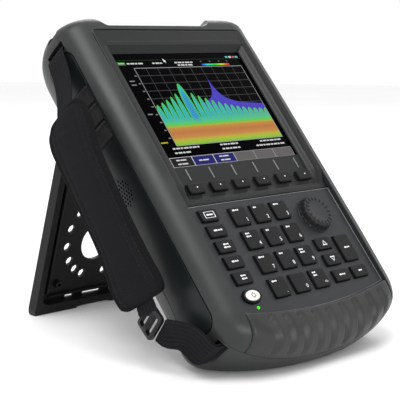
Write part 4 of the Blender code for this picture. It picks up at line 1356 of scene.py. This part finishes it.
@dataclass
class Picture:
    """What the display shows: a spectrum of narrow lobes over a warm band, with blank text bars."""

    face: float = 0.9
    left: float = -52.4
    right: float = 61.7
    bottom: float = 177.6
    top: float = 246.6
    main_lobe: float = -18.1
    pitch: float = 5.86
    band_top: float = 195.0

    def build(self) -> None:
        """Makes the glass and every layer of the picture."""
        profile = rounded_rim(0.3, 1.8, 0.15)
        glass = pillow("screen_glass", (0, 1.25, 209.8), (66.4, 49.7), 0.8, profile)
        add_piece(glass, Finish.SCREEN, replaces=["display_window"])
        self.make_graticule()
        self.make_blue_trace()
        self.make_lobes()
        self.make_band()
        self.make_labels()

    def layer(self, depth: int) -> float:
        """The v of a layer of the picture; a higher number lies nearer the eye."""
        return self.face - 0.03 * depth

    def boxes(self, name: str, rows: Sequence[tuple], depth: int) -> None:
        """Flat rectangles of (x low, x high, w low, w high, colour) as one glowing piece."""
        table = np.array([row[:4] for row in rows], float)
        x, w = table[:, [0, 1, 1, 0]], table[:, [2, 2, 3, 3]]
        points = np.stack([x, np.full_like(x, self.layer(depth)), w], -1).reshape(-1, 3)
        obj = build_mesh(name, points, np.arange(len(points)).reshape(-1, 4).tolist())
        tint(obj, np.repeat(np.array([row[4] for row in rows]), 4, axis=0))
        add_piece(obj, Finish.DISPLAY)

    def sheet(self, name: str, x: Array, low: Array, high: Array, rows: int, depth: int, colours) -> None:
        """A glowing sheet between two curves w(x); its colours come from (x, w, share of the way up)."""
        share = np.linspace(0, 1, rows)[:, None]
        w = low + (high - low) * share
        across = np.broadcast_to(x, w.shape)
        points = np.stack([across, np.full_like(w, self.layer(depth)), w], -1)
        obj = build_mesh(name, points, grid_quads(*w.shape).tolist())
        tint(obj, colours(across, w, share).reshape(-1, 4))
        add_piece(obj, Finish.DISPLAY)

    def make_graticule(self) -> None:
        """Ten by ten divisions, a brighter frame and the scale's blank marks."""
        dim, bright = shade(78, 78, 80), shade(170, 170, 170)
        width, height = self.right - self.left, self.top - self.bottom
        lines = []
        for i in range(11):
            colour, half = (bright, 0.22) if i in (0, 10) else (dim, 0.16)
            x, w = self.left + width * i / 10, self.bottom + height * i / 10
            lines.append((x - half, x + half, self.bottom, self.top, colour))
            lines.append((self.left, self.right, w - half, w + half, colour))
            if 0 < i < 10:
                lines.append((self.left - 3.6, self.left - 1.4, w - 0.5, w + 0.5, shade(120, 120, 120)))
        self.boxes("picture_graticule", lines, 1)

    def lobe_top(self, x: Array) -> Array:
        """The lobes' outline: the highest of the half ellipses that stand on the valleys' level."""
        steps = np.arange(-6, 15)
        centres = self.main_lobe + self.pitch * (steps + 0.42 * np.sign(steps))
        away = np.abs(steps)
        peaks = np.where(steps == 0, 231.6, 222.6 - 2.75 * (away - 1) + 0.11 * (away - 1) ** 2)
        halves = np.where(steps == 0, 5.0, 2.75)
        inside = 1 - ((x[:, None] - centres) / halves) ** 2
        tops = 200.5 + (peaks - 200.5) * np.clip(inside, 0, 1) ** 0.5
        return tops.max(axis=1)

    def make_lobes(self) -> None:
        """The lobes: green along their outline, cyan within, and blue ripples in the tall one."""
        x = np.linspace(self.left + 0.2, self.right - 0.2, 900)
        top = self.lobe_top(x)

        def colours(across: Array, w: Array, share: Array) -> Array:
            """Blends green, cyan, blue and lime by the distance under the outline."""
            reach = np.stack([self.lobe_top(x + shift) for shift in (-0.7, 0.7)]).min(axis=0)
            below = np.clip((np.minimum(top, reach) - w) / 2.2, 0, 1)
            ripple = 0.5 + 0.5 * np.sin(w * 3.4 + 2.2 * np.cos((across - self.main_lobe) * 0.9))
            tall = np.exp(-(((across - self.main_lobe) / 3.4) ** 2)) * np.clip((top - w - 5) / 6, 0, 1)
            speckle = 0.5 + 0.5 * np.sin(across * 9.1 + np.sin(w * 5.3) * 2.0) * np.sin(w * 7.7)
            low = np.clip((self.band_top + 7.0 - w) / 6.0, 0, 1)
            green, cyan, blue, lime = (
                np.array(shade(*c))
                for c in ((66, 200, 66), (48, 186, 176), (40, 90, 205), (90, 205, 80))
            )
            mixed = green + (cyan - green) * below[..., None]
            mixed = mixed + (blue - mixed) * (tall * ripple * 0.85 + 0.25 * below * speckle)[..., None]
            mixed = mixed + (lime - mixed) * (low**1.5 * 0.85)[..., None]
            valley = np.clip(1 - (top - 200.5) / 7.0, 0, 1) * np.clip((w - 196) / 5, 0, 1)
            gold = np.array(shade(130, 170, 40))
            return mixed + (gold - mixed) * (valley * 0.7)[..., None]

        self.sheet("picture_lobes", x, np.full_like(x, self.band_top), top, 60, 3, colours)

    def make_blue_trace(self) -> None:
        """The blue trace behind: w falls away from its peak as one over a power of the distance."""
        x = np.concatenate(
            [np.linspace(-2, 14, 60), np.linspace(14.1, 18, 60), np.linspace(18.2, self.right - 0.2, 120)]
        )
        top = 206 + 31 / (1 + (np.abs(x - 16.0) / 4.0) ** 0.8)

        def colours(across: Array, w: Array, share: Array) -> Array:
            """Violet blue with a little speckle."""
            speckle = 0.5 + 0.5 * np.sin(across * 13.0 + 3 * np.sin(w * 4.0)) * np.sin(w * 11.0)
            dark, light = np.array(shade(48, 36, 160)), np.array(shade(84, 70, 214))
            return dark + (light - dark) * speckle[..., None]

        self.sheet("picture_blue_trace", x, np.full_like(x, 199.0), top, 40, 2, colours)

    def make_band(self) -> None:
        """The noise band: lime, yellow, orange and yellow again, from the bottom up."""
        x = np.linspace(self.left + 0.2, self.right - 0.2, 60)
        stops = np.array((0.0, 0.1, 0.24, 0.38, 0.62, 0.84, 0.93, 1.0))
        tones = np.array([
            shade(*c)
            for c in (
                (126, 190, 40), (150, 192, 52), (186, 176, 52), (196, 134, 62), (190, 116, 60),
                (192, 140, 56), (170, 180, 50), (84, 196, 70),
            )
        ])

        def colours(across: Array, w: Array, share: Array) -> Array:
            """Looks each height up in the table of tones."""
            level = np.broadcast_to(share, across.shape) + 0.012 * np.sin(across * 2.1)
            return np.stack([np.interp(level, stops, tones[:, i]) for i in range(4)], -1)

        self.sheet(
            "picture_band", x, np.full_like(x, self.bottom + 0.3), np.full_like(x, self.band_top), 40, 3,
            colours,
        )

    def make_labels(self) -> None:
        """Blank bars for the lines of text, the colour scale, and the row of softkey labels."""
        white, grey = shade(214, 214, 214), shade(96, 92, 94)
        rows = []
        for x, w, reach in (
            (-57.8, 175.4, 29), (-57.8, 171.7, 19), (-9.5, 175.4, 21.5), (-9.5, 171.7, 21),
            (34.0, 175.4, 26), (27.5, 171.7, 32.5), (-57.0, 250.8, 18), (-32.0, 250.8, 14.5),
            (-9.0, 251.0, 20), (-7.0, 248.6, 17),
        ):
            pieces = np.cumsum([0.0] + [(2.6, 0.8, 3.8, 0.7, 2.2, 0.9, 4.6, 0.8)[i % 8] for i in range(24)])
            for start, end in zip(pieces[:-1:2], pieces[1::2]):
                if end < reach:
                    rows.append((x + start, x + end, w - 0.62, w + 0.62, white))
        rows.append((-66.1, -58.6, 249.4, 252.4, shade(44, 120, 40)))
        rows += [(-65.2, -59.4, 250.6, 251.3, white), (-65.6, -59.2, 180.5, 181.5, shade(196, 186, 40))]
        rows += [(-63.4, -58.6, w, w + 1.0, shade(130, 130, 130)) for w in (234.6, 231.2, 205.2)]
        rows += [(-66.2, 65.0, 253.6, 253.85, shade(20, 70, 24))]
        icons = (
            (49.0, (90, 190, 210)), (53.0, (220, 220, 220)), (57.0, (210, 90, 80)),
            (60.5, (110, 190, 210)),
        )
        rows += [(x, x + 2.9, 254.6, 256.2, shade(*c)) for x, c in icons]
        x_edges = np.linspace(18.6, 49.6, 32)
        hues = np.linspace(0.62, 0.0, 31)
        rows += [(a, b, 247.7, 249.3, hue_colour(h)) for a, b, h in zip(x_edges, x_edges[1:], hues)]
        rows += [(x, x + 1.6, 251.2, 252.0, shade(110, 110, 110)) for x in (18.6, 28.4, 38.4, 47.6)]
        width = 129.8 / 6
        for i in range(6):
            start = -66.1 + i * width
            fill = (shade(2, 2, 2), shade(8, 8, 104), shade(8, 8, 104), grey, grey, grey)[i]
            rows += [(start, start + width, 159.9, 168.1, white if i < 3 else shade(150, 148, 148)),
                     (start + 0.35, start + width - 0.35, 160.25, 167.75, fill)]
            if i < 3:
                lines = (165.6, 162.4) if i != 1 else (164.0,)
                rows += [
                    (start + a, start + b, w - 0.55, w + 0.55, white)
                    for w in lines
                    for a, b in ((5.6, 9.0), (9.6, 15.4))
                ]
        self.stack("picture_labels", rows)
        arrow = np.array(
            ((0, 0), (0, -3.6), (0.9, -2.8), (1.5, -4.2), (2.1, -3.9), (1.6, -2.6), (2.7, -2.6))
        )[::-1]
        pointer = prism("picture_pointer", arrow, (-19.6, self.layer(4), 255.0), 0.02)
        tint(pointer, shade(236, 236, 236))
        add_piece(pointer, Finish.DISPLAY)

    def stack(self, name: str, rows: Sequence[tuple]) -> None:
        """Splits overlapping boxes into an under layer and an upper layer, each one piece."""
        under = [row for row in rows if row[3] - row[2] > 8.0]
        self.boxes(f"{name}_frames", under, 1)
        middle = [row for row in rows if 7.0 < row[3] - row[2] <= 8.0 or row[4] == shade(44, 120, 40)]
        self.boxes(f"{name}_fields", middle, 2)
        self.boxes(name, [row for row in rows if row not in under and row not in middle], 3)


def hue_colour(hue: float) -> Colour:
    """A full colour of the rainbow, a little dimmed, by its hue from 0 to 1."""
    channels = np.clip(np.abs((hue * 6 + np.array((0, 4, 2))) % 6 - 3) - 1, 0, 1)
    return shade(*(int(30 + 190 * c) for c in channels))


# ---------------------------------------------------------------- the tilt stand


@dataclass
class StandSize:
    """Sizes of the stand that the case's pocket shares."""

    thick: float = 9.0
    half: float = 62.5

    @property
    def length(self) -> float:
        """From the hinge to the foot, along the leg."""
        return -float(STAND.box("tilt_stand")[0][2])

    @property
    def pocket_span(self) -> tuple[float, float]:
        """The pocket's lowest and highest w."""
        return HINGE[2] - self.length - 3.0 + 2.4, HINGE[2] + self.thick / 2 + 0.6


STAND_SIZE = StandSize()


# ---------------------------------------------------------------- hand strap


def unit(rows: Array) -> Array:
    """Each row scaled to length one."""
    return rows / np.linalg.norm(rows, axis=-1, keepdims=True)


def cloth_skin(name: str, rings: Array, closed: bool = False) -> bpy.types.Object:
    """A skin of woven material, whose UV map "cloth" holds metres across and along its run.

    Args:
        name: The new object's name.
        rings: Points as (ring, point, axis), in millimetres.
        closed: Whether the last ring joins the first, instead of each being capped.

    Returns:
        The linked object.
    """
    rows, cols = rings.shape[:2]
    steps = np.linalg.norm(np.diff(rings, axis=1, append=rings[:, :1]), axis=-1)
    across = np.cumsum(steps, axis=1) - steps
    middle = rings.mean(axis=1)
    along = np.concatenate([[0.0], np.cumsum(np.linalg.norm(np.diff(middle, axis=0), axis=-1))])
    faces = grid_quads(rows, cols, wrap=True).tolist()
    if closed:
        last, here = (rows - 1) * cols, np.arange(cols)
        turn = np.roll(here, -1)
        faces += np.stack([last + here, last + turn, turn, here], axis=-1).tolist()
    else:
        faces += [list(range(cols))[::-1], list(range((rows - 1) * cols, rows * cols))]
    obj = build_mesh(name, rings, faces)
    corners = np.empty(len(obj.data.loops), np.int32)
    obj.data.loops.foreach_get("vertex_index", corners)
    spots = np.stack([across, np.broadcast_to(along[:, None], across.shape)], axis=-1).reshape(-1, 2)
    layer = obj.data.uv_layers.new(name="cloth")
    layer.data.foreach_set("uv", (spots[corners] * MM).astype(np.float32).ravel())
    return finish_mesh(obj, 60)


class Route:
    """A smooth run of (x, v, w, width) rows, with a frame at every point."""

    def __init__(self, rows: Sequence[Sequence[float]], count: int) -> None:
        path = smooth_path(rows, count)
        self.centre, self.width = path[:, :3], path[:, 3]
        self.run = unit(np.gradient(self.centre, axis=0))
        self.across = unit(np.array((0.0, 1.0, 0.0)) - self.run * self.run[:, 1:2])
        self.out = np.cross(self.across, self.run)
        steps = np.linalg.norm(np.diff(self.centre, axis=0), axis=-1)
        self.along = np.concatenate([[0.0], np.cumsum(steps)])

    def surface(self, share: Array, height: Array) -> Array:
        """Points at each share of the half width, lifted by each height, as (row, point, axis)."""
        side = np.asarray(share)[None, :, None] * self.width[:, None, None] / 2
        return self.centre[:, None] + self.across[:, None] * side + self.out[:, None] * height[..., None]


UPPER_WEBBING = (
    (-86.0, 23.5, 278.2, 20.4), (-91.0, 23.5, 278.1, 20.4), (-95.2, 23.3, 276.0, 20.4),
    (-97.2, 23.0, 270.8, 20.4), (-99.2, 22.6, 262.0, 20.4), (-102.6, 22.8, 250.0, 20.4),
    (-106.8, 24.0, 238.4, 20.4), (-109.8, 25.0, 231.4, 20.4), (-110.9, 25.6, 226.0, 20.4),
)
PAD = (
    (-111.0, 26.0, 228.6, 30.0), (-112.0, 26.0, 221.0, 44.0), (-113.6, 27.0, 211.0, 47.0),
    (-115.0, 28.0, 199.0, 43.5), (-116.4, 28.6, 184.0, 40.5), (-117.2, 29.2, 165.0, 39.5),
    (-117.2, 30.4, 145.0, 38.5), (-116.0, 33.0, 125.0, 39.0), (-114.0, 37.0, 108.0, 42.5),
    (-112.0, 40.2, 95.5, 45.5), (-110.6, 41.0, 88.0, 43.0), (-109.8, 41.5, 84.6, 34.0),
)
LINK_WEBBING = (
    (-110.6, 41.6, 90.0, 17.6), (-109.6, 43.0, 82.0, 17.6), (-108.6, 45.6, 77.6, 17.6),
    (-108.0, 46.8, 75.4, 17.6),
)
LOWER_WEBBING = (
    (-106.6, 43.6, 62.4, 20.0), (-105.9, 42.4, 58.6, 20.6), (-104.8, 38.0, 55.0, 21.6),
    (-103.2, 34.2, 51.4, 23.0), (-101.2, 31.4, 47.0, 24.4), (-99.4, 30.2, 42.0, 25.2),
    (-97.8, 29.9, 37.0, 25.2), (-96.8, 29.8, 34.8, 25.2), (-94.4, 29.8, 32.7, 25.2),
    (-91.0, 29.8, 32.4, 25.2), (-86.0, 29.8, 32.4, 25.2),
)
BUCKLE_SPOT = (-107.4, 48.4, 71.8)


@dataclass
class HandStrap:
    """The strap on the left flank: a padded grip with webbing above and below it, and a buckle."""

    thick: float = 6.6
    seam: float = 0.6
    edge_seam: float = 0.86

    def build(self) -> None:
        """Makes every strap piece."""
        self.make_pad()
        self.make_webbing("strap_band_upper", UPPER_WEBBING, (0.0,), "strap_upper_webbing")
        self.make_webbing("strap_band_link", LINK_WEBBING, (0.0,))
        self.make_webbing("strap_band_lower", LOWER_WEBBING, (-0.8, 0.8), "strap_lower_webbing")
        self.make_buckle()

    def height(self, route: Route, share: Array) -> Array:
        """The pad's outer height: crowned between two sewn channels, thin at its ends, a little creased."""
        gap = np.minimum(route.along, route.along[-1] - route.along)[:, None]
        taper = np.sqrt(1 - np.clip(1 - gap / 9.0, 0, 1) ** 2) * 0.6 + 0.4
        a = np.abs(share)[None]
        edge = np.sqrt(np.clip(1 - a**7, 0, 1))
        crown = 0.9 * np.clip(1 - (a / self.seam) ** 2, 0, 1)
        sewn = (
            0.35 * np.exp(-(((a - self.seam) / 0.05) ** 2))
            + 0.6 * np.exp(-(((a - self.edge_seam) / 0.035) ** 2))
        )
        along = route.along[:, None]
        crease = 0.16 * np.sin(along * 0.8 + 4 * share) * np.sin(along * 0.11) ** 2
        return (self.thick / 2 * edge + crown - sewn * edge + crease * edge) * taper

    def make_pad(self) -> None:
        """The grip: a crowned, sewn cushion, its bound edge and its rows of stitches."""
        route = Route(PAD, 190)
        share = np.sin(np.radians(np.linspace(-90, 90, 61)))
        upper = route.surface(share, self.height(route, share))
        depth = -0.5 * self.thick * np.sqrt(np.clip(1 - share**8, 0, 1))
        under = route.surface(share[::-1], np.tile(depth, (len(route.along), 1)))
        pad = cloth_skin("strap_grip", np.concatenate([upper, under[:, 1:-1]], axis=1))
        add_piece(pad, Finish.PAD, replaces=["strap_pad"])
        self.make_binding(route)
        self.make_stitches(route)

    def make_binding(self, route: Route) -> None:
        """A tape folded over the pad's edge: a flattened ring swept round its outline."""
        rows = np.arange(2, len(route.width) - 2)
        turn = np.linspace(1, -1, 14)[1:-1]
        spots = [(i, 1.0) for i in rows] + [(rows[-1], a) for a in turn]
        spots += [(i, -1.0) for i in rows[::-1]] + [(rows[0], -a) for a in turn]
        index, share = np.array([i for i, _ in spots]), np.array([a for _, a in spots])
        path = route.centre[index] + route.across[index] * (share * (route.width[index] / 2 - 0.6))[:, None]
        for _ in range(8):
            path = (np.roll(path, 1, 0) + 2 * path + np.roll(path, -1, 0)) / 4
        run = unit(np.roll(path, -1, 0) - np.roll(path, 1, 0))
        side = unit(np.cross(run, route.out[index]))
        turn = np.radians(np.arange(0, 360, 15))
        flat = np.sign(np.cos(turn)) * np.abs(np.cos(turn)) ** 0.7 * 1.7
        tall = np.sign(np.sin(turn)) * np.abs(np.sin(turn)) ** 0.6 * 2.5
        rings = (
            path[:, None]
            + side[:, None] * flat[None, :, None]
            + route.out[index][:, None] * tall[None, :, None]
        )
        add_piece(cloth_skin("strap_binding", rings, closed=True), Finish.BINDING)

    def make_stitches(self, route: Route) -> None:
        """Short raised threads along both pairs of seams, each an eight-sided spindle."""
        spindle = np.array(
            ((0.95, 0, 0), (-0.95, 0, 0), (0, 0.24, 0), (0, -0.24, 0), (0, 0, 0.34), (0, 0, -0.2))
        )
        sides = ((0, 2, 4), (2, 1, 4), (1, 3, 4), (3, 0, 4), (2, 0, 5), (1, 2, 5), (3, 1, 5), (0, 3, 5))
        points, faces = [], []
        for share in (-self.edge_seam, -self.seam, self.seam, self.edge_seam):
            height = self.height(route, np.array([share]))
            spots = route.surface(np.array([share]), height)[:, 0]
            for at in np.arange(7.0, route.along[-1] - 7.0, 2.9):
                i = int(np.searchsorted(route.along, at))
                frame_rows = np.stack([route.run[i], route.across[i], route.out[i]])
                faces += [[6 * len(points) + k for k in side] for side in sides]
                points.append(spots[i] + spindle @ frame_rows)
        threads = build_mesh("strap_stitches", np.array(points), faces)
        add_piece(finish_mesh(threads, 20), Finish.THREAD)

    def make_webbing(self, name: str, rows: tuple, plies: tuple[float, ...], node: str | None = None) -> None:
        """A flat woven band, one skin for each ply, with a fuller selvedge along both edges."""
        route = Route(rows, 110)
        share = np.sin(np.radians(np.linspace(-90, 90, 31)))
        swell = (
            0.72 * np.clip(1 - np.abs(share) ** 12, 0, 1) ** 0.5
            + 0.1 * (np.abs(share) > 0.8) * (np.abs(share) < 0.97)
        )
        ribs = 0.05 * np.sin(route.along[:, None] * 2 * math.pi / 1.7)
        skins = []
        for ply in plies:
            upper = route.surface(share, ply + swell[None] + ribs)
            under = route.surface(share[::-1], ply - swell[::-1][None] - ribs)
            skins.append(cloth_skin(name, np.concatenate([upper, under[:, 1:-1]], axis=1)))
        band = joined(name, skins) if len(skins) > 1 else skins[0]
        add_piece(band, Finish.WEBBING, replaces=[node] if node else ())

    def make_buckle(self) -> None:
        """The ladder buckle: a rounded plate with two slots and a ribbed bar between them."""
        tilt, yaw = math.radians(-15), math.radians(8)
        lean = np.array(
            ((1, 0, 0), (0, math.cos(tilt), -math.sin(tilt)), (0, math.sin(tilt), math.cos(tilt)))
        )
        swing = np.array(((math.cos(yaw), 0, math.sin(yaw)), (0, 1, 0), (-math.sin(yaw), 0, math.cos(yaw))))
        seat = Axes(CASE.world(np.array(BUCKLE_SPOT)), (swing @ lean).T @ CASE.basis)
        profile = np.array(((0.5, 0.0), (0.1, 0.3), (0, 0.8), (0, 2.5), (0.15, 3.0), (0.6, 3.4), (1.4, 3.5)))
        plate = pillow("ladder_buckle", (1.7, 0, 0), (10.5, 9.2), 3.0, profile, Facing.LEFT, seat)
        slots = [
            prism("slot", rounded_loop((7.8, 2.3), 1.0), (3.0, 0, up), 8.0, Facing.LEFT, seat)
            for up in (-4.2, 4.2)
        ]
        ribs = [pillow("rib", (-1.6, 0, up), (6.6, 0.28), 0.25, rounded_rim(0.5, 0.3, 0.2), Facing.LEFT, seat)
                for up in (-0.8, 0.0, 0.8, -7.8, 7.8)]
        carve(plate, [("DIFFERENCE", cutter) for cutter in slots])
        add_piece(plate, Finish.BUCKLE, replaces=["strap_buckle"])
        add_piece(joined("ladder_buckle_ribs", ribs), Finish.BUCKLE)


# ---------------------------------------------------------------- stand and ports


@dataclass
@dataclass
class TiltStand:
    """Detail on the leg: rails and ribs in its tray, a raised border outside, and two ribbed grips."""

    tray: float = 1.6
    back: float = 4.4
    grip_rise: float = 7.0

    def build(self) -> None:
        """Makes every piece that rides on the stand."""
        self.make_ribs()
        self.make_border()
        self.make_grips()

    def make_ribs(self) -> None:
        """Two long rails, three ledges across and four screw bosses, all on the tray's floor."""
        length = STAND_SIZE.length
        middle = -length / 2
        edge = rounded_rim(2.6, 0.3, 0.6)
        boss = [(3.4, -0.3), (3.2, 3.0), (2.8, 3.4), (1.5, 3.4), (1.4, 0.6), (0.01, 0.6)]
        ribs = [
            pillow("rail", (x, self.tray, middle - 4), (0.9, length / 2 - 22), 0.8, edge, Facing.FRONT, STAND)
            for x in (-50.0, 50.0)
        ]
        ribs += [
            pillow("ledge", (0, self.tray, z), (48.0, 0.9), 0.8, edge, Facing.FRONT, STAND)
            for z in (-16.0, -62.0, 16.0 - length)
        ]
        ribs += [
            turned("boss", (x, self.tray, z), boss, Facing.FRONT, STAND, 28)
            for x in (-40.0, 40.0)
            for z in (-26.0, 26.0 - length)
        ]
        add_piece(joined("stand_ribs", ribs), Finish.STAND, "stand")

    def make_border(self) -> None:
        """A low raised frame round the outer face."""
        length = STAND_SIZE.length
        middle = -length / 2
        border = pillow(
            "border", (0, self.back, middle), (54.0, length / 2 - 12), 8.0, rounded_rim(0.7, 0.4, 0.4),
            Facing.BACK, STAND,
        )
        inner = rounded_loop((51.5, length / 2 - 14.5), 6.0)
        carve(border, [("DIFFERENCE", prism("inner", inner, (0, 3.0, middle), 6.0, Facing.BACK, STAND))])
        add_piece(border, Finish.STAND, "stand")

    def make_grips(self) -> None:
        """Two rubber grips near the foot, each with a row of short ribs."""
        foot = self.grip_rise - STAND_SIZE.length
        pad, rib = rounded_rim(0.8, 0.4, 0.5), rounded_rim(0.4, 0.3, 0.3)
        grips = [
            pillow("grip", (x, self.back, foot), (14.0, 2.6), 1.6, pad, Facing.BACK, STAND)
            for x in (-42.0, 42.0)
        ]
        grips += [
            pillow("grip_rib", (x + k * 3.2, self.back + 0.7, foot), (0.7, 2.0), 0.6, rib, Facing.BACK, STAND)
            for x in (-42.0, 42.0)
            for k in range(-3, 4)
        ]
        add_piece(joined("stand_grips", grips), Finish.BUMPER, "stand")


@dataclass
class Connectors:
    """The coaxial ports in the top bay: threaded barrels, hexagon nuts, insulators and contacts."""

    def build(self) -> None:
        """Makes the ports, their nuts and insulators, and the bay plate's screws."""
        for name, bore, pin in (
            ("rf_port_1", 4.2, 1.5), ("rf_port_2", 4.2, 1.5), ("reference_connector", 2.0, 0.7),
            ("gps_connector", 2.0, 0.7),
        ):
            self.make_port(name, bore, pin)
        heads = [
            turned(
                "head", (x, 34.0 + side * 12.5, 264.0),
                [(2.4, -0.3), (2.4, 0.7), (2.0, 1.1), (1.1, 1.15), (1.0, 0.4), (0.01, 0.4)], Facing.TOP,
                count=32,
            )
            for x in (-55.0, 55.0)
            for side in (-1, 1)
        ]
        add_piece(joined("bay_screws", heads), Finish.STEEL)

    def make_port(self, name: str, bore: float, pin: float) -> None:
        """One port, sized from its CAD box. The thread is a cosine wave of 1 mm pitch along the barrel."""
        low, high = CASE.box(name)
        flange, height = (high[0] - low[0]) / 2, high[2] - low[2]
        seat = ((low[0] + high[0]) / 2, (low[1] + high[1]) / 2, low[2])
        barrel, start = bore * 1.7, height * 0.26
        rise = np.arange(start, height - 1.6, 0.125)
        thread = np.stack([barrel - 0.22 + 0.22 * np.cos(2 * math.pi * rise), rise], axis=-1)
        profile = [
            (0.01, 0.0), (flange, 0.0), (flange, 1.0), (flange - 0.3, 1.3), (barrel, 1.35),
            (barrel, start - 0.1), *thread, (barrel - 0.4, height - 1.3), (barrel - 0.4, height - 0.3),
            (barrel - 0.7, height), (bore + 0.3, height), (bore, height - 0.3), (bore, height * 0.5),
            (0.01, height * 0.5),
        ]
        shell = turned(f"{name}_barrel", seat, np.array(profile), Facing.TOP, count=64)
        add_piece(shell, Finish.STEEL if bore > 3 else Finish.BRASS, replaces=[name])
        hexagon = round_loop((flange - 0.4) / math.cos(math.pi / 6), 6)
        nut = skin(
            f"{name}_nut",
            Facing.TOP.lay(
                (seat[0], seat[1], seat[2] + 1.3),
                np.stack([hexagon * 0.96, hexagon, hexagon, hexagon * 0.96]),
                np.array([[0.0], [0.25], [start - 1.8], [start - 1.5]]),
            ),
            sharp=20,
        )
        core = turned("core", seat, [(barrel + 0.05, 1.2), (barrel + 0.05, start)], Facing.TOP, count=48)
        carve(nut, [("DIFFERENCE", core)])
        add_piece(nut, Finish.STEEL)
        floor = height * 0.5
        disc = skin(f"{name}_insulator", self.disc(seat, bore - 0.1, floor - 0.2, floor + 1.2), sharp=30)
        add_piece(disc, Finish.INSULATOR)
        contact = [
            (0.01, floor - 0.2), (pin, floor - 0.2), (pin, height - 2.4), (pin * 0.6, height - 1.7),
            (pin * 0.3, height - 1.7), (0.01, height - 2.6),
        ]
        add_piece(turned(f"{name}_contact", seat, np.array(contact), Facing.TOP, count=32), Finish.BRASS)

    @staticmethod
    def disc(seat: Sequence[float], outer: float, low: float, high: float) -> Array:
        """The insulator's rings: a disc from low to high whose top edge is bevelled."""
        rows = np.array(((0.01, low), (outer, low), (outer, high - 0.2), (outer - 0.2, high), (0.01, high)))
        return Facing.TOP.lay(seat, round_loop(1.0, 48)[None] * rows[:, :1, None], rows[:, 1][:, None])


# ---------------------------------------------------------------- camera, light and floor


@dataclass
class Studio:
    """The camera, the soft lights and the pale floor."""

    eye: tuple[float, float, float] = (-0.6327, -0.6327, 0.2329)
    gaze: tuple[float, float, float] = (0.7196, 0.6743, -0.1654)
    up: tuple[float, float, float] = (0.11365, 0.1207, 0.9862)
    lens: float = 108.5
    shift: tuple[float, float] = (-0.0672, 0.0676)

    def build(self) -> None:
        """Makes the camera, the lights, the sky and the floor."""
        self.make_camera()
        self.make_lights()
        self.make_floor()

    def make_camera(self) -> None:
        """A camera whose third axis points back along the gaze."""
        data = bpy.data.cameras.new("camera")
        data.lens, data.sensor_width, data.clip_start, data.clip_end = self.lens, 36.0, 0.05, 50.0
        data.shift_x, data.shift_y = self.shift
        camera = bpy.data.objects.new("camera", data)
        bpy.context.scene.collection.objects.link(camera)
        camera.matrix_world = self.aimed(self.eye, -np.array(self.gaze), self.up)
        bpy.context.scene.camera = camera

    @staticmethod
    def aimed(spot: Sequence[float], back: Array, up: Sequence[float]) -> Matrix:
        """A placing whose third axis points along back, with its second as near to up as that allows."""
        back = back / np.linalg.norm(back)
        right = np.cross(np.array(up), back)
        right /= np.linalg.norm(right)
        turn = np.eye(4)
        turn[:3] = np.stack([right, np.cross(back, right), back, spot], axis=-1)
        return Matrix(turn.tolist())

    def make_lights(self) -> None:
        """A large soft box over the left shoulder, a fill in front and a rim light behind."""
        aim = (0.0, 0.0, 0.1)
        for name, spot, size, power in (
            ("key_light", (-0.9, -0.5, 1.9), 1.2, 26.0),
            ("fill_light", (-0.5, -1.7, 0.3), 0.8, 9.0),
            ("rim_light", (1.3, 1.3, 1.4), 1.2, 9.0),
        ):
            data = bpy.data.lights.new(name, "AREA")
            data.shape, data.size, data.energy = "DISK", size, power
            light = bpy.data.objects.new(name, data)
            bpy.context.scene.collection.objects.link(light)
            light.matrix_world = self.aimed(spot, np.array(spot) - aim, (0.0, 0.0, 1.0))
        world = bpy.data.worlds.new("sky")
        bpy.context.scene.world = world
        world.use_nodes = True
        world.node_tree.nodes["Background"].inputs["Color"].default_value = (1.0, 1.0, 1.0, 1.0)
        world.node_tree.nodes["Background"].inputs["Strength"].default_value = 1.0
        bpy.context.scene.view_settings.view_transform = "Standard"

    def make_floor(self) -> None:
        """A round pale floor, level with the lowest point of the instrument."""
        loop = np.concatenate([round_loop(4.0, 96), np.zeros((96, 1))], axis=1)
        mesh = bpy.data.meshes.new("floor")
        mesh.from_pydata(loop.tolist(), [], [list(range(96))])
        floor = bpy.data.objects.new("floor", mesh)
        bpy.context.scene.collection.objects.link(floor)
        made, wiring, shader = new_material("floor_paper")
        where = wiring.node("ShaderNodeTexCoord").outputs["Object"]
        cloudy = wiring.remap(wiring.noise(where, 3.0, 3.0), 0.3, 0.7)
        wiring.feed(
            shader.inputs["Base Color"], wiring.mix(cloudy, (0.9, 0.9, 0.9, 1.0), (0.93, 0.93, 0.93, 1.0)),
        )
        wiring.feed(shader.inputs["Roughness"], 0.7)
        floor.data.materials.append(made)


# ---------------------------------------------------------------- everything in order


def dress_frame() -> None:
    """Gives each CAD node that stays visible, and each inner one, its finish."""
    finishes = {
        "battery": Finish.BATTERY, "keypad_board": Finish.CIRCUIT, "main_board": Finish.CIRCUIT,
        "rf_module": Finish.SHIELD, "knob_encoder": Finish.STEEL, "stand_hinge_pin": Finish.STEEL,
        "lcd_panel": Finish.SHIELD, "tilt_stand": Finish.STAND, "top_connector_plate": Finish.BAY,
    }
    for name, finish in finishes.items():
        dress(frame["nodes"][name], finish)


def main() -> None:
    """Builds every sub-assembly in order; each piece is logged as it is added."""
    logging.basicConfig(level=logging.INFO, format="%(message)s")
    Studio().build()
    dress_frame()
    shape = CaseShape()
    Casing(shape).build()
    FrontPanel().build()
    Picture().build()
    HandStrap().build()
    TiltStand().build()
    Connectors().build()


if __name__ == "__main__":
    main()
